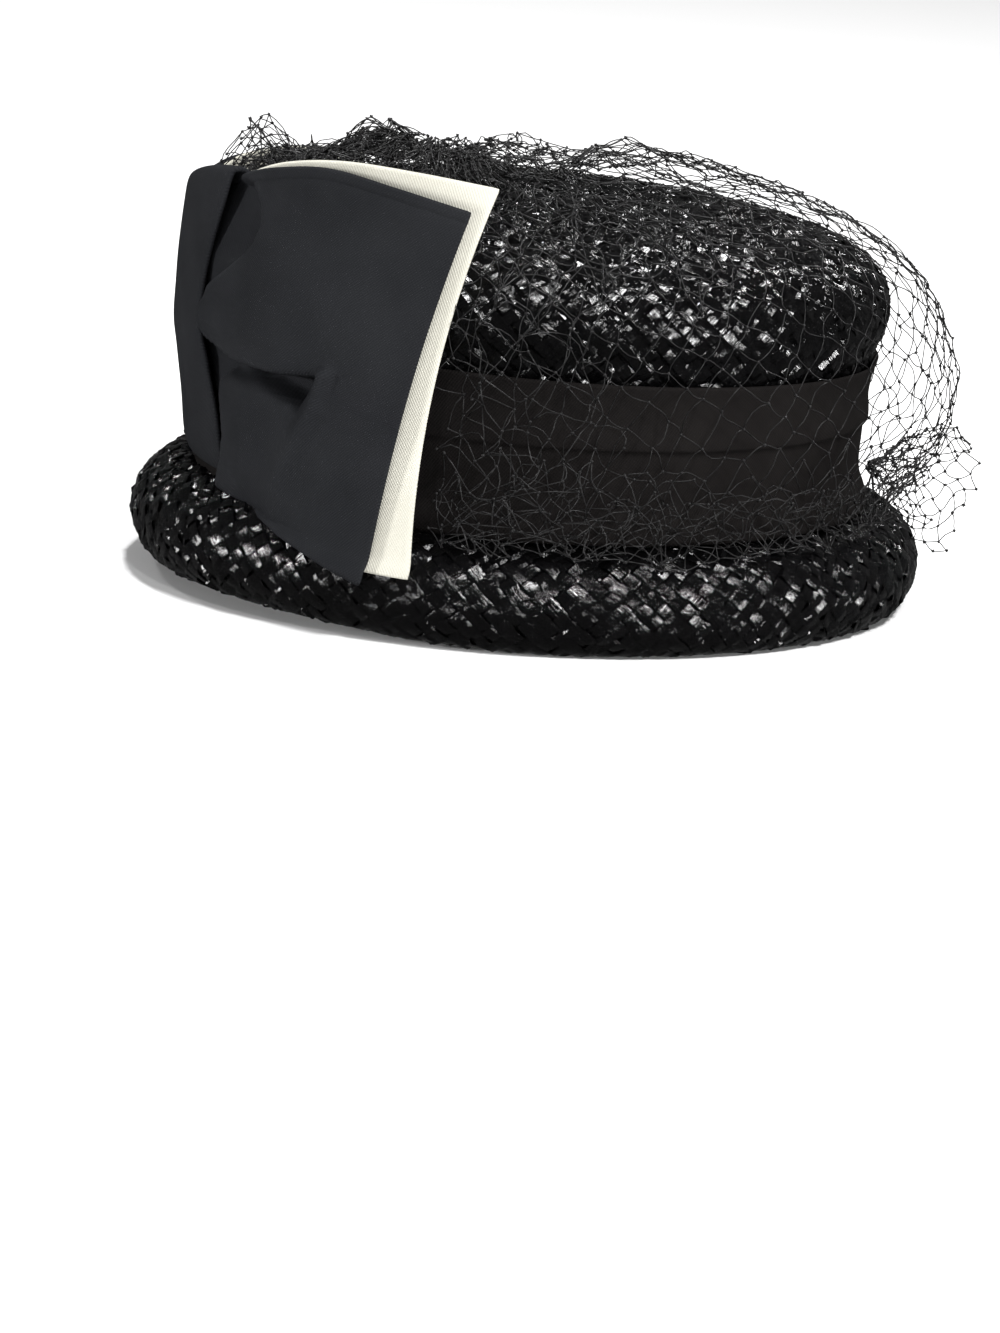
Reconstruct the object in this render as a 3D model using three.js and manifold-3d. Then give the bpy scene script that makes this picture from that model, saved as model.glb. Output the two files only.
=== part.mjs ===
// A woman's dress hat of lacquered straw: an oval crown, a short rolled brim, a wide ribbon band, a
// flat layered bow held by a knot strip, and a face veil of coarse netting thrown over the crown.
// Millimetres, +Z up. The front of the hat is -Y and the wearer's left is +X. The brim rests on z = 0.
//
// Everything is laid out in oval polar coordinates about the head's axis: phi is the angle round the
// head, 0 at the front and positive towards the wearer's left, r is the distance from the axis along
// the front-to-back line, and the sideways distance is OVAL times as much.

import * as THREE from 'three';
import { mergeVertices } from 'three/addons/utils/BufferGeometryUtils.js';
import Module from 'manifold-3d';

const wasm = await Module();
wasm.setup();

// ---------------------------------------------------------------- driving dimensions
const OVAL = 0.893;             // width of the head oval over its length
const AROUND = 36;              // flat facets round the crown, brim and band
const LEAN = 0.025;             // how much the crown is higher in front than behind, per mm
const LEAN_FROM = 32;           // height where that lean starts
const LEAN_FULL = 90;           // and where it is complete
const GAP = 0.3;                // clearance between touching pieces

const STRAW_WALL = 1.7;
const BLACK_WALL = 1.6;         // bow, outer layer
const IVORY_WALL = 1.2;         // bow, under layer
const STRIP_WALL = 1.6;         // bow, knot strip

// Outside of the crown, from its base to the tip.
const CROWN_SIDE = [
  { r: 100.0, z: 30.7 },
  { r: 99.4, z: 35 },
  { r: 97.3, z: 40 },
  { r: 96.7, z: 48 },
  { r: 97.2, z: 60 },
  { r: 98.4, z: 72 },
  { r: 100.6, z: 81 },
  { r: 102.9, z: 87.5 },
  { r: 103.2, z: 92.5 },
  { r: 102.0, z: 98 },
  { r: 98.2, z: 103.6 },
  { r: 90.5, z: 108.6 },
  { r: 77.0, z: 112.4 },
  { r: 56.0, z: 115.2 },
  { r: 30.0, z: 116.7 },
  { r: 0, z: 117 },
];

// Upper and outer side of the brim: the collar tucked into the crown, the short flat shoulder,
// the roll, and the edge turned under to the flat ring that the hat rests on.
const BRIM_SIDE = [
  { r: 110.4, z: 0 },
  { r: 114.2, z: 1.9 },
  { r: 117.6, z: 7.2 },
  { r: 118.7, z: 14 },
  { r: 116.4, z: 21 },
  { r: 111.4, z: 26.4 },
  { r: 105.0, z: 29.3 },
  { r: 98.2, z: 30.1 },
  { r: 97.4, z: 33 },
  { r: 96.7, z: 36 },
  { r: 95.4, z: 39 },
];
const BRIM_EDGE = 104.8;        // inner rim of the turned-under edge
const FRONT_RISE = 3;           // the front of the brim curls up off the surface by this much

// Outside of the ribbon band, with the soft fold along its middle.
const BAND_SIDE = [
  { r: 101.6, z: 30.4 },
  { r: 101.2, z: 34 },
  { r: 99.0, z: 40 },
  { r: 98.4, z: 46 },
  { r: 98.7, z: 56.4 },
  { r: 99.4, z: 58 },
  { r: 99.4, z: 66 },
  { r: 100.2, z: 72 },
  { r: 101.6, z: 77 },
];

// Near wing of the bow, knot to outer edge: where each crosswise section starts and ends.
const BLACK_SECTIONS = [
  { topPhi: 0, topZ: 115.8, lowPhi: 0, lowZ: 42 },
  { topPhi: 12, topZ: 116.2, lowPhi: 12, lowZ: 41.5 },
  { topPhi: 21, topZ: 120.6, lowPhi: 21, lowZ: 39 },
  { topPhi: 32, topZ: 125.6, lowPhi: 28, lowZ: 31.5 },
  { topPhi: 43, topZ: 128.6, lowPhi: 37, lowZ: 26 },
  { topPhi: 55, topZ: 126.4, lowPhi: 46, lowZ: 20.5 },
  { topPhi: 66, topZ: 123, lowPhi: 55.4, lowZ: 17.5 },
];
const IVORY_SECTIONS = [
  { topPhi: 0, topZ: 115, lowPhi: 0, lowZ: 42.5 },
  { topPhi: 12, topZ: 115.4, lowPhi: 12, lowZ: 42 },
  { topPhi: 21, topZ: 119, lowPhi: 21, lowZ: 39.5 },
  { topPhi: 32, topZ: 124, lowPhi: 29, lowZ: 33 },
  { topPhi: 44, topZ: 129.4, lowPhi: 39, lowZ: 27.5 },
  { topPhi: 57, topZ: 131, lowPhi: 50, lowZ: 22 },
  { topPhi: 69.3, topZ: 129.6, lowPhi: 61.6, lowZ: 20.5 },
];

// Radius of the ivory layer where nothing presses on it, at two heights, and how far the black
// layer stands off it, low down and high up.
const WING_LOW = 30;
const WING_HIGH = 120;
const WING_STAND = [
  { phi: 0, lowR: 98.5, highR: 103.0, lowGap: 1.8, highGap: 1.8 },
  { phi: 20, lowR: 99.5, highR: 103.4, lowGap: 2.0, highGap: 2.2 },
  { phi: 30, lowR: 104.0, highR: 105.2, lowGap: 2.6, highGap: 3.6 },
  { phi: 40, lowR: 110.0, highR: 106.6, lowGap: 2.8, highGap: 4.0 },
  { phi: 50, lowR: 114.2, highR: 107.2, lowGap: 2.8, highGap: 4.6 },
  { phi: 60, lowR: 115.8, highR: 107.6, lowGap: 3.0, highGap: 5.4 },
  { phi: 70, lowR: 116.4, highR: 108.0, lowGap: 3.2, highGap: 5.8 },
];
// The bow sits aslant: towards the wearer's right its top edge drops and its low edge rises.
const SLANT_TOP = 20;           // drop of the top edge on the far wing
const SLANT_LOW = -4;           // drop of the low edge
const SLANT_FROM = -20;         // angle past the knot where the slant starts
const SLANT_FULL = 36;          // and where it is complete
const SLANT_LOW_Z = 28;         // heights on the far wing where the two drops hold
const SLANT_TOP_Z = 108;

const LOW_CROWDING = 1.4;       // the bow's facets are shorter low down, where it bends over the brim

// Folds pressed into the black layer: each runs from one point to the other and fades sideways.
// lift is the height of the fold at its start and end, negative for a valley.
const FOLDS = [
  { name: 'dart', phiA: 8, zA: 78, phiB: 43, zB: 72.5, liftA: -3.4, liftB: 0, widthA: 3.6, widthB: 1.6 },
  { name: 'upper lobe', phiA: 16, zA: 87, phiB: 40, zB: 80, liftA: 4.6, liftB: 0.8, widthA: 6, widthB: 6 },
  { name: 'lower lobe', phiA: 17, zA: 68, phiB: 38, zB: 65, liftA: 2.6, liftB: 0.6, widthA: 5, widthB: 6 },
  { name: 'top ridge', phiA: 28, zA: 124, phiB: 24, zB: 96, liftA: 2.4, liftB: 3.4, widthA: 5, widthB: 5 },
  { name: 'low ridge', phiA: 42, zA: 70, phiB: 29, zB: 42, liftA: 1.6, liftB: 1.0, widthA: 5, widthB: 6 },
];

const MM_PER_DEGREE = 1.7;      // along the bow

// Middle of the knot strip's thickness, from its lower end up the front and over the bow's top edge.
const STRIP_PATH = [
  { r: 102.4, z: 35.6, edge: 16.8, flare: 0 },
  { r: 103.7, z: 40, edge: 17, flare: 0 },
  { r: 105.2, z: 52, edge: 15.4, flare: 0.4 },
  { r: 107.4, z: 66, edge: 13, flare: 0.4 },
  { r: 108.7, z: 75, edge: 11.8, flare: 0.2 },
  { r: 108.6, z: 86, edge: 12.2, flare: 0 },
  { r: 108.4, z: 98, edge: 14.2, flare: 0 },
  { r: 107.6, z: 111, edge: 16.2, flare: 0.6 },
  { r: 106.4, z: 118.8, edge: 17.2, flare: 1.0 },
  { r: 104.2, z: 121, edge: 17.4, flare: 1.2 },
  { r: 101.8, z: 119.8, edge: 17.4, flare: 1.2 },
  { r: 100.8, z: 116.4, edge: 17, flare: 1.0 },
];
const STRIP_FRONT = STRIP_PATH.slice(0, 9);

// The veil from the tip of the crown (part 0) to its hem (part 1), along three lines down the hat:
// beside the ear, at the quarter behind it, and down the back, where it puffs out and is drawn in.
const VEIL_ROWS = 9;            // half cells from the tip of the crown to the hem
const VEIL_MESH = 21;           // half of a cell's diagonal
const VEIL_LINES = [
  { part: 0, sideR: 0, sideZ: 121.5, quarterR: 0, quarterZ: 121.5, backR: 0, backZ: 121.5 },
  { part: 0.15, sideR: 29, sideZ: 121.2, quarterR: 29, quarterZ: 122.5, backR: 29, backZ: 125.5 },
  { part: 0.3, sideR: 58, sideZ: 119.5, quarterR: 58, quarterZ: 121, backR: 57, backZ: 123 },
  { part: 0.45, sideR: 86, sideZ: 114.5, quarterR: 86, quarterZ: 115.5, backR: 85, backZ: 116 },
  { part: 0.55, sideR: 101, sideZ: 105, quarterR: 103, quarterZ: 106, backR: 102, backZ: 108 },
  { part: 0.62, sideR: 106.5, sideZ: 93, quarterR: 111, quarterZ: 95, backR: 114, backZ: 99 },
  { part: 0.7, sideR: 106, sideZ: 78, quarterR: 113.5, quarterZ: 80, backR: 122.5, backZ: 86 },
  { part: 0.8, sideR: 103.4, sideZ: 58, quarterR: 112, quarterZ: 60, backR: 129, backZ: 67 },
  { part: 0.88, sideR: 103.4, sideZ: 42, quarterR: 108, quarterZ: 44, backR: 128, backZ: 52 },
  { part: 0.95, sideR: 106.5, sideZ: 32, quarterR: 108.5, quarterZ: 33.5, backR: 117, backZ: 44 },
  { part: 1, sideR: 114.6, sideZ: 26.4, quarterR: 114.4, quarterZ: 26.8, backR: 105.6, backZ: 40 },
];
const VEIL_OPEN = 0.87;         // opening of a cell over the whole cell
const VEIL_WALL = 1.4;
const VEIL_FRONT = 101;         // how far out the veil reaches over the crown, behind the bow
const VEIL_SHORT = 0.886;       // it is drawn together towards the front by this much
const VEIL_FREE = 71;           // angle from the front where its sides begin, clear of the bow
const VEIL_PUFFS = [
  { x: 0, y: -93, rise: 16, spread: 10 },
  { x: 19, y: -74, rise: 8, spread: 10 },
  { x: 0, y: -56, rise: 15, spread: 12 },
  { x: 19, y: -37, rise: 8, spread: 11 },
  { x: 0, y: 21, rise: 8, spread: 15 },
];

// The gathered end of the veil, which stands out behind the hat.
const TAIL_ROOT_Y = 105.2;
const TAIL_ROOT_Z = 40;
const TAIL_DROOP = 14;          // degrees below level
const TAIL_LENGTH = 36;
const TAIL_SPREAD = 22;         // half-angle of the flare, degrees
const TAIL_OPEN_SIDE = 60;      // gap in the flare, underneath, degrees

// ---------------------------------------------------------------- small helpers
const degrees = THREE.MathUtils.degToRad;
const smooth = (value, from, to) => THREE.MathUtils.smoothstep(value, from, to);

function ovalPoint(phi, r, z) {
  const a = degrees(phi);
  return new THREE.Vector3(OVAL * r * Math.sin(a), -r * Math.cos(a), z);
}

// The crown and all it carries are a little higher in front.
function lean(point) {
  point.z -= LEAN * point.y * smooth(point.z, LEAN_FROM, LEAN_FULL);
  return point;
}

// One column of a table at a given value of its key column, on a smooth curve through the rows.
function lookUp(rows, key, column, value) {
  const rising = rows[rows.length - 1][key] > rows[0][key] ? rows : [...rows].reverse();
  const last = rising.length - 1;
  let i = 0;
  while (i < last - 1 && value > rising[i + 1][key]) i++;
  const before = rising[Math.max(i - 1, 0)][column];
  const from = rising[i][column];
  const to = rising[i + 1][column];
  const after = rising[Math.min(i + 2, last)][column];
  const span = rising[i + 1][key] - rising[i][key];
  const t = THREE.MathUtils.clamp((value - rising[i][key]) / span, 0, 1);
  const square = 2 * before - 5 * from + 4 * to - after;
  const cube = 3 * from - before - 3 * to + after;
  return from + ((to - before) * t + square * t ** 2 + cube * t ** 3) / 2;
}

// Radius of a faceted wall at a height.
function radiusAt(rows, z) {
  const i = rows.findIndex((row, k) => k > 0 && (row.z - z) * (rows[k - 1].z - z) <= 0);
  const share = (z - rows[i - 1].z) / (rows[i].z - rows[i - 1].z);
  return THREE.MathUtils.lerp(rows[i - 1].r, rows[i].r, share);
}

// The larger of two values with the corner between them rounded off.
const blendedMax = (a, b, round) => (a + b + Math.hypot(a - b, round)) / 2;

// A section line moved sideways by a wall thickness, to the right of its direction.
function offsetLine(line, distance) {
  return line.map((point, i) => {
    const into = point.clone().sub(line[Math.max(i - 1, 0)]).normalize();
    const out = line[Math.min(i + 1, line.length - 1)].clone().sub(point).normalize();
    const along = into.clone().add(out).normalize();
    const turn = Math.max(along.dot(i > 0 ? into : out), 0.7);
    return new THREE.Vector2(point.x + along.y * distance / turn, point.y - along.x * distance / turn);
  });
}

// A wall of revolution on the oval. The section runs up the outside and down the inside.
function ovalWall(section, bend = lean) {
  const geometry = new THREE.LatheGeometry(section, AROUND);
  geometry.rotateX(Math.PI / 2);
  geometry.scale(OVAL, 1, 1);
  return moved(geometry, bend);
}

function moved(geometry, move) {
  const position = geometry.attributes.position;
  const point = new THREE.Vector3();
  for (let i = 0; i < position.count; i++) {
    point.fromBufferAttribute(position, i);
    move(point);
    position.setXYZ(i, point.x, point.y, point.z);
  }
  return joined(geometry);
}

// A closed sheet: place(u, v, side) gives the point at u across and v up, outside (1) or inside (-1).
function sheet(across, up, place) {
  const geometry = new THREE.BoxGeometry(1, 1, 2, across, up, 1);
  return moved(geometry, (point) => point.copy(place(point.x + 0.5, point.y + 0.5, point.z)));
}

// Shared corners become one vertex, so that the surface is closed.
function joined(geometry) {
  if (geometry.hasAttribute('normal')) geometry.deleteAttribute('normal');
  if (geometry.hasAttribute('uv')) geometry.deleteAttribute('uv');
  const closed = mergeVertices(geometry, 1e-3);
  closed.computeVertexNormals();
  return closed;
}

function toManifold(geometry) {
  return new wasm.Manifold(new wasm.Mesh({
    numProp: 3,
    vertProperties: new Float32Array(geometry.attributes.position.array),
    triVerts: new Uint32Array(geometry.index.array),
  }));
}

function fromManifold(solid) {
  const mesh = solid.getMesh();
  const geometry = new THREE.BufferGeometry();
  geometry.setAttribute('position', new THREE.BufferAttribute(mesh.vertProperties, 3));
  geometry.setIndex(new THREE.BufferAttribute(mesh.triVerts, 1));
  geometry.computeVertexNormals();
  return geometry;
}

const flatPoints = (rows) => rows.map((row) => new THREE.Vector2(row.r, row.z));

// ---------------------------------------------------------------- crown
function crown() {
  const outside = flatPoints(CROWN_SIDE);
  const inside = offsetLine(outside, -STRAW_WALL).filter((_, i) => i % 2 === 0).reverse();
  const base = inside.pop();
  const tip = new THREE.Vector2(0, outside[outside.length - 1].y - STRAW_WALL);
  const foot = new THREE.Vector2(base.x, outside[0].y);
  return ovalWall([tip, ...inside, foot, ...outside]);
}

// ---------------------------------------------------------------- brim
function brim() {
  const outside = flatPoints(BRIM_SIDE);
  const last = outside.length - 1;
  const inside = offsetLine(outside, -STRAW_WALL).filter((_, i) => i % 2 === 1 || i === last).reverse();
  const edge = [
    new THREE.Vector2(outside[0].x - 0.6, STRAW_WALL),
    new THREE.Vector2(BRIM_EDGE, STRAW_WALL),
    new THREE.Vector2(BRIM_EDGE, 0),
  ];
  return ovalWall([...outside, ...inside, ...edge, outside[0]], (point) => {
    point.z += FRONT_RISE * smooth(-point.y, 20, 112) * (1 - smooth(point.z, 6, 28));
    return lean(point);
  });
}

// ---------------------------------------------------------------- ribbon band
function hatband() {
  const outside = flatPoints(BAND_SIDE);
  const top = outside[outside.length - 1].y;
  const covered = CROWN_SIDE.filter((row) => row.z < top);
  const inside = [...covered, { r: radiusAt(CROWN_SIDE, top), z: top }].reverse().map((row) => (
    new THREE.Vector2(row.r + GAP, row === CROWN_SIDE[0] ? outside[0].y : row.z)));
  return ovalWall([...outside, ...inside, outside[0]]);
}

// ---------------------------------------------------------------- bow
// Radius of whatever stands behind the bow at a given height: brim, band or crown.
function backing(z) {
  const brimWidest = BRIM_SIDE[3];
  const bandTop = BAND_SIDE[BAND_SIDE.length - 1];
  const crownWidest = CROWN_SIDE[8];
  if (z < brimWidest.z) return brimWidest.r;
  const brimTop = BRIM_SIDE[7];
  const bandLow = BAND_SIDE[0];
  if (z < bandLow.z) return Math.max(radiusAt(BRIM_SIDE.slice(3, 8), Math.min(z, brimTop.z)), bandLow.r);
  if (z < bandTop.z) return radiusAt(BAND_SIDE, z);
  if (z < crownWidest.z) return Math.max(radiusAt(CROWN_SIDE, z), bandTop.r);
  return crownWidest.r - Math.max(z - 96, 0) * 0.3;
}

// The slanted bow is laid out upright: level is the height that a place has on the near wing.
const slant = (phi) => smooth(-phi, SLANT_FROM, SLANT_FULL);
const SLANT_RATE = (SLANT_TOP - SLANT_LOW) / (SLANT_TOP_Z - SLANT_LOW_Z);

function toLevel(phi, z) {
  return z + slant(phi) * (SLANT_LOW + SLANT_RATE * (z - SLANT_LOW_Z));
}

function fromLevel(phi, level) {
  return (level - slant(phi) * (SLANT_LOW - SLANT_RATE * SLANT_LOW_Z)) / (1 + slant(phi) * SLANT_RATE);
}

function stripRadius(phi, level) {
  const at = (name) => lookUp(STRIP_FRONT, 'z', name, level);
  return at('r') - at('flare') * (phi / at('edge')) ** 2;
}

function foldLift(phi, z) {
  let lift = 0;
  for (const fold of FOLDS) {
    const alongPhi = (fold.phiB - fold.phiA) * MM_PER_DEGREE;
    const alongZ = fold.zB - fold.zA;
    const length = Math.hypot(alongPhi, alongZ);
    const fromPhi = (phi - fold.phiA) * MM_PER_DEGREE;
    const fromZ = z - fold.zA;
    const along = (fromPhi * alongPhi + fromZ * alongZ) / length / length;
    const aside = (fromPhi * alongZ - fromZ * alongPhi) / length;
    const t = THREE.MathUtils.clamp(along, 0, 1);
    const over = Math.max(along - 1, -along, 0) * length;
    const width = THREE.MathUtils.lerp(fold.widthA, fold.widthB, t);
    const fade = Math.exp(-((aside / width) ** 2) - (over / width) ** 2);
    lift += THREE.MathUtils.lerp(fold.liftA, fold.liftB, t) * fade;
  }
  return lift;
}

// Radii of the two layers at a place on the bow, pressed in under the knot strip.
function layerRadii(phi, level, z) {
  const away = Math.abs(phi);
  const share = (level - WING_LOW) / (WING_HIGH - WING_LOW);
  const column = (name) => lookUp(WING_STAND, 'phi', name, away);
  const free = THREE.MathUtils.lerp(column('lowR'), column('highR'), share);
  const overBrim = 1 - smooth(z, 28, 40);
  const standing = backing(z) + GAP * (2.6 + 2 * overBrim) + IVORY_WALL / 2;
  const ivoryFree = blendedMax(free, standing, 0.8);
  const gap = THREE.MathUtils.lerp(column('lowGap'), column('highGap'), THREE.MathUtils.clamp(share, 0, 1));
  const least = (IVORY_WALL + BLACK_WALL) / 2 + GAP * (1.3 + smooth(away, 10, 18) + overBrim);
  const blackFree = ivoryFree + blendedMax(gap + foldLift(away, level) * smooth(away, 6, 14), least, 0.3);
  const under = THREE.MathUtils.clamp(phi, -18, 18);
  const roof = stripRadius(under, level) - (STRIP_WALL + BLACK_WALL) / 2 - 1.3 * GAP;
  const clear = smooth(away, lookUp(STRIP_FRONT, 'z', 'edge', level) + 3.5, 27) * 30;
  const black = Math.min(blackFree, roof + clear);
  return { ivory: Math.min(ivoryFree, black - least), black };
}

function bowLayer(sections, layer, wall, across, up) {
  const rows = sections.map((row, i) => ({ ...row, part: i / (sections.length - 1) }));
  return sheet(across, up, (u, share, side) => {
    const v = share ** LOW_CROWDING;
    const part = Math.abs(2 * u - 1);
    const at = (name) => lookUp(rows, 'part', name, part);
    const phi = Math.sign(u - 0.5) * THREE.MathUtils.lerp(at('lowPhi'), at('topPhi'), v);
    const level = THREE.MathUtils.lerp(at('lowZ'), at('topZ'), v);
    const z = fromLevel(phi, level);
    return lean(ovalPoint(phi, layerRadii(phi, level, z)[layer] + side * wall / 2, z));
  });
}

function bowKnot() {
  const last = STRIP_PATH.length - 1;
  const rows = STRIP_PATH.map((row, i) => ({ ...row, part: i / last }));
  const step = 0.01;
  return sheet(4, Math.round(1.5 * last), (u, v, side) => {
    const at = (name, part = v) => lookUp(rows, 'part', name, part);
    const rise = at('z', v + step) - at('z', v - step);
    const along = new THREE.Vector2(at('r', v + step) - at('r', v - step), rise).normalize();
    const spread = 2 * u - 1;
    const phi = spread * at('edge');
    const r = at('r') - at('flare') * spread ** 2 + along.y * side * STRIP_WALL / 2;
    const level = at('z') - along.x * side * STRIP_WALL / 2;
    return lean(ovalPoint(phi, r, fromLevel(phi, level)));
  });
}

// ---------------------------------------------------------------- veil
// A cell of the net, with straight sides, or with sides that can bend in their middles.
const DIAMOND = [[1, 0], [0, 1], [-1, 0], [0, -1]];
const BENT_DIAMOND = DIAMOND.flatMap(([x, y], k) => {
  const [nextX, nextY] = DIAMOND[(k + 1) % 4];
  return [[x, y], [(x + nextX) / 2, (y + nextY) / 2]];
});

// Netting of cells: place(x, y, side) carries the flat net onto the form that it takes.
function netting(cells, outline, halfX, halfY, open, place) {
  const used = new Set(cells.map((cell) => `${cell.i},${cell.j}`));
  const corners = [];
  const quad = (a, b, c, d) => corners.push(a, b, c, a, c, d);
  for (const { i, j } of cells) {
    const at = (k, share, side) => {
      const [x, y] = outline[k % outline.length];
      return place((i + x * share) * halfX, (j + y * share) * halfY, side);
    };
    outline.forEach(([x, y], k) => {
      quad(at(k, 1, 1), at(k + 1, 1, 1), at(k + 1, open, 1), at(k, open, 1));
      quad(at(k + 1, 1, -1), at(k, 1, -1), at(k, open, -1), at(k + 1, open, -1));
      quad(at(k, open, 1), at(k + 1, open, 1), at(k + 1, open, -1), at(k, open, -1));
      const [nextX, nextY] = outline[(k + 1) % outline.length];
      const neighbour = `${i + Math.sign(x + nextX)},${j + Math.sign(y + nextY)}`;
      if (!used.has(neighbour)) quad(at(k + 1, 1, 1), at(k, 1, 1), at(k, 1, -1), at(k + 1, 1, -1));
    });
  }
  return toManifold(joined(new THREE.BufferGeometry().setFromPoints(corners)));
}

// Height and radius of the veil at an angle round the head and a share of the way to its hem.
function veilPoint(phi, part, side) {
  const at = (column, t) => lookUp(VEIL_LINES, 'part', column, THREE.MathUtils.clamp(t, 0, 1));
  const away = Math.abs(phi);
  const toQuarter = smooth(away, 88, 140);
  const toBack = smooth(away, 145, 178);
  const mix = (name, t) => {
    const nearer = THREE.MathUtils.lerp(at('side' + name, t), at('quarter' + name, t), toQuarter);
    return THREE.MathUtils.lerp(nearer, at('back' + name, t), toBack);
  };
  const down = part - 0.02;
  const on = part + 0.02;
  const along = new THREE.Vector2(mix('R', on) - mix('R', down), mix('Z', on) - mix('Z', down)).normalize();
  const r = mix('R', part) - along.y * side * VEIL_WALL / 2;
  const z = mix('Z', part) + along.x * side * VEIL_WALL / 2;
  const point = ovalPoint(phi, r, z);
  for (const puff of VEIL_PUFFS) {
    const away2 = (point.x - puff.x) ** 2 + (point.y - puff.y) ** 2;
    point.z += puff.rise * Math.exp(-away2 / puff.spread ** 2) * smooth(point.z, 90, 110);
  }
  return lean(point);
}

// Where a point of the flat net comes down: the angle round the head and the way to the hem.
function drapedAt(x, y) {
  const back = y < 0 ? y * VEIL_SHORT : y;
  return { phi: THREE.MathUtils.radToDeg(Math.atan2(x, -back)), reach: Math.hypot(x, back) };
}

function veilCells() {
  const cells = [];
  for (let i = -VEIL_ROWS; i <= VEIL_ROWS; i++) {
    for (let j = -VEIL_ROWS; j <= VEIL_ROWS; j++) {
      if ((i + j) % 2 !== 0) continue;
      const fits = DIAMOND.every(([x, y]) => {
        const { phi, reach } = drapedAt((i + x) * VEIL_MESH, (j + y) * VEIL_MESH);
        if (reach > (VEIL_ROWS + 0.3) * VEIL_MESH) return false;
        return reach < VEIL_FRONT || Math.abs(phi) > VEIL_FREE;
      });
      if (fits) cells.push({ i, j });
    }
  }
  return cells;
}

function veil() {
  const dome = netting(veilCells(), BENT_DIAMOND, VEIL_MESH, VEIL_MESH, VEIL_OPEN, (x, y, side) => {
    const { phi, reach } = drapedAt(x, y);
    return veilPoint(phi, reach / (VEIL_ROWS * VEIL_MESH), side);
  });
  const gather = new THREE.SphereGeometry(1, 10, 6);
  gather.scale(6, 5.4, 6.5);
  gather.translate(0, TAIL_ROOT_Y, TAIL_ROOT_Z);
  return fromManifold(dome.add(toManifold(joined(gather))).add(tail()));
}

function tail() {
  const along = new THREE.Vector3(0, Math.cos(degrees(TAIL_DROOP)), -Math.sin(degrees(TAIL_DROOP)));
  const up = new THREE.Vector3(0, Math.sin(degrees(TAIL_DROOP)), Math.cos(degrees(TAIL_DROOP)));
  const root = new THREE.Vector3(0, TAIL_ROOT_Y, TAIL_ROOT_Z);
  const rows = 4;
  const around = 12;
  const halfStep = TAIL_LENGTH / rows;
  const halfTurn = (360 - TAIL_OPEN_SIDE) / around;
  const cells = [];
  for (let i = 1; i < rows; i++) {
    for (let j = 1; j < around; j++) {
      if ((i + j) % 2 === 0) cells.push({ i, j });
    }
  }
  return netting(cells, DIAMOND, halfStep, halfTurn, 0.8, (s, turn, side) => {
    const angle = degrees(turn - 90 + TAIL_OPEN_SIDE / 2);
    const flare = 2.4 + s * Math.tan(degrees(TAIL_SPREAD));
    const r = flare * (1 + 0.12 * Math.sin(5 * angle)) + side * 0.7;
    const point = root.clone().addScaledVector(along, s);
    point.x += r * Math.cos(angle);
    return point.addScaledVector(up, r * Math.sin(angle));
  });
}

// ---------------------------------------------------------------- the hat
const STRAW = { color: 0x101012, roughness: 0.22, metalness: 0 };
const RIBBON = { color: 0x232326, roughness: 0.8, metalness: 0 };
const FAILLE = { color: 0x2a2c31, roughness: 0.75, metalness: 0 };
const IVORY = { color: 0xeee9d6, roughness: 0.7, metalness: 0 };
const THREAD = { color: 0x0c0c0d, roughness: 0.6, metalness: 0 };

function piece(name, geometry, look) {
  const mesh = new THREE.Mesh(geometry, new THREE.MeshStandardMaterial(look));
  mesh.name = name;
  return mesh;
}

const hat = new THREE.Group();
hat.add(piece('crown', crown(), STRAW));
hat.add(piece('brim', brim(), STRAW));
hat.add(piece('hatband', hatband(), RIBBON));
hat.add(piece('bow_ivory', bowLayer(IVORY_SECTIONS, 'ivory', IVORY_WALL, 16, 9), IVORY));
hat.add(piece('bow_black', bowLayer(BLACK_SECTIONS, 'black', BLACK_WALL, 28, 15), FAILLE));
hat.add(piece('bow_knot', bowKnot(), FAILLE));
hat.add(piece('veil', veil(), THREAD));

// The origin is under the middle of the whole hat, on the surface that it rests on.
const extent = new THREE.Box3().setFromObject(hat);
hat.position.y = -(extent.min.y + extent.max.y) / 2;
hat.position.x = -(extent.min.x + extent.max.x) / 2;

export default hat;
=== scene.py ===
"""A woman's hat of lacquered straw, with a ribbon band, a flat layered bow and a net veil.

The shapes are worked out in millimetres in the hat's own frame: the front is -Y, the wearer's left is
+X, and the brim rests on z = 0. phi is the angle round the head in degrees, 0 at the front and
positive towards the wearer's left, and r is the distance from the head's axis along the front-to-back
line. placed() carries the points into the row frame, in metres.
"""
import math

import bpy
import numpy as np
from mathutils import Matrix, Vector


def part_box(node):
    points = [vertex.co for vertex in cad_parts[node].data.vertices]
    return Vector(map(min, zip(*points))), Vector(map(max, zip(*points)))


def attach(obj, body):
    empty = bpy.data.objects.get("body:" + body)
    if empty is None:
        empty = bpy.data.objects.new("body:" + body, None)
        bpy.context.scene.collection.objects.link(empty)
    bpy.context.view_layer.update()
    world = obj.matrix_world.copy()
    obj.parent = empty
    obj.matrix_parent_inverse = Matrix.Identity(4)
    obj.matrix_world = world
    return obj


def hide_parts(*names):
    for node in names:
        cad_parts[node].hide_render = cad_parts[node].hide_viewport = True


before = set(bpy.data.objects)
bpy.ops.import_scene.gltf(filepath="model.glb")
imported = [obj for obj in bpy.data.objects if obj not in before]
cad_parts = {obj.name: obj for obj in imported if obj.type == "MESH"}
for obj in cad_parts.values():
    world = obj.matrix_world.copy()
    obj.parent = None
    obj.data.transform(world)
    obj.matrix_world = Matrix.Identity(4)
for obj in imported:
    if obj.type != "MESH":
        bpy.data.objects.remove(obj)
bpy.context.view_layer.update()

MM = 0.001
OVAL = 0.893  # width of the head oval over its length
ROUND = (1 + OVAL) / 2  # mean radius of that oval over r
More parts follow.
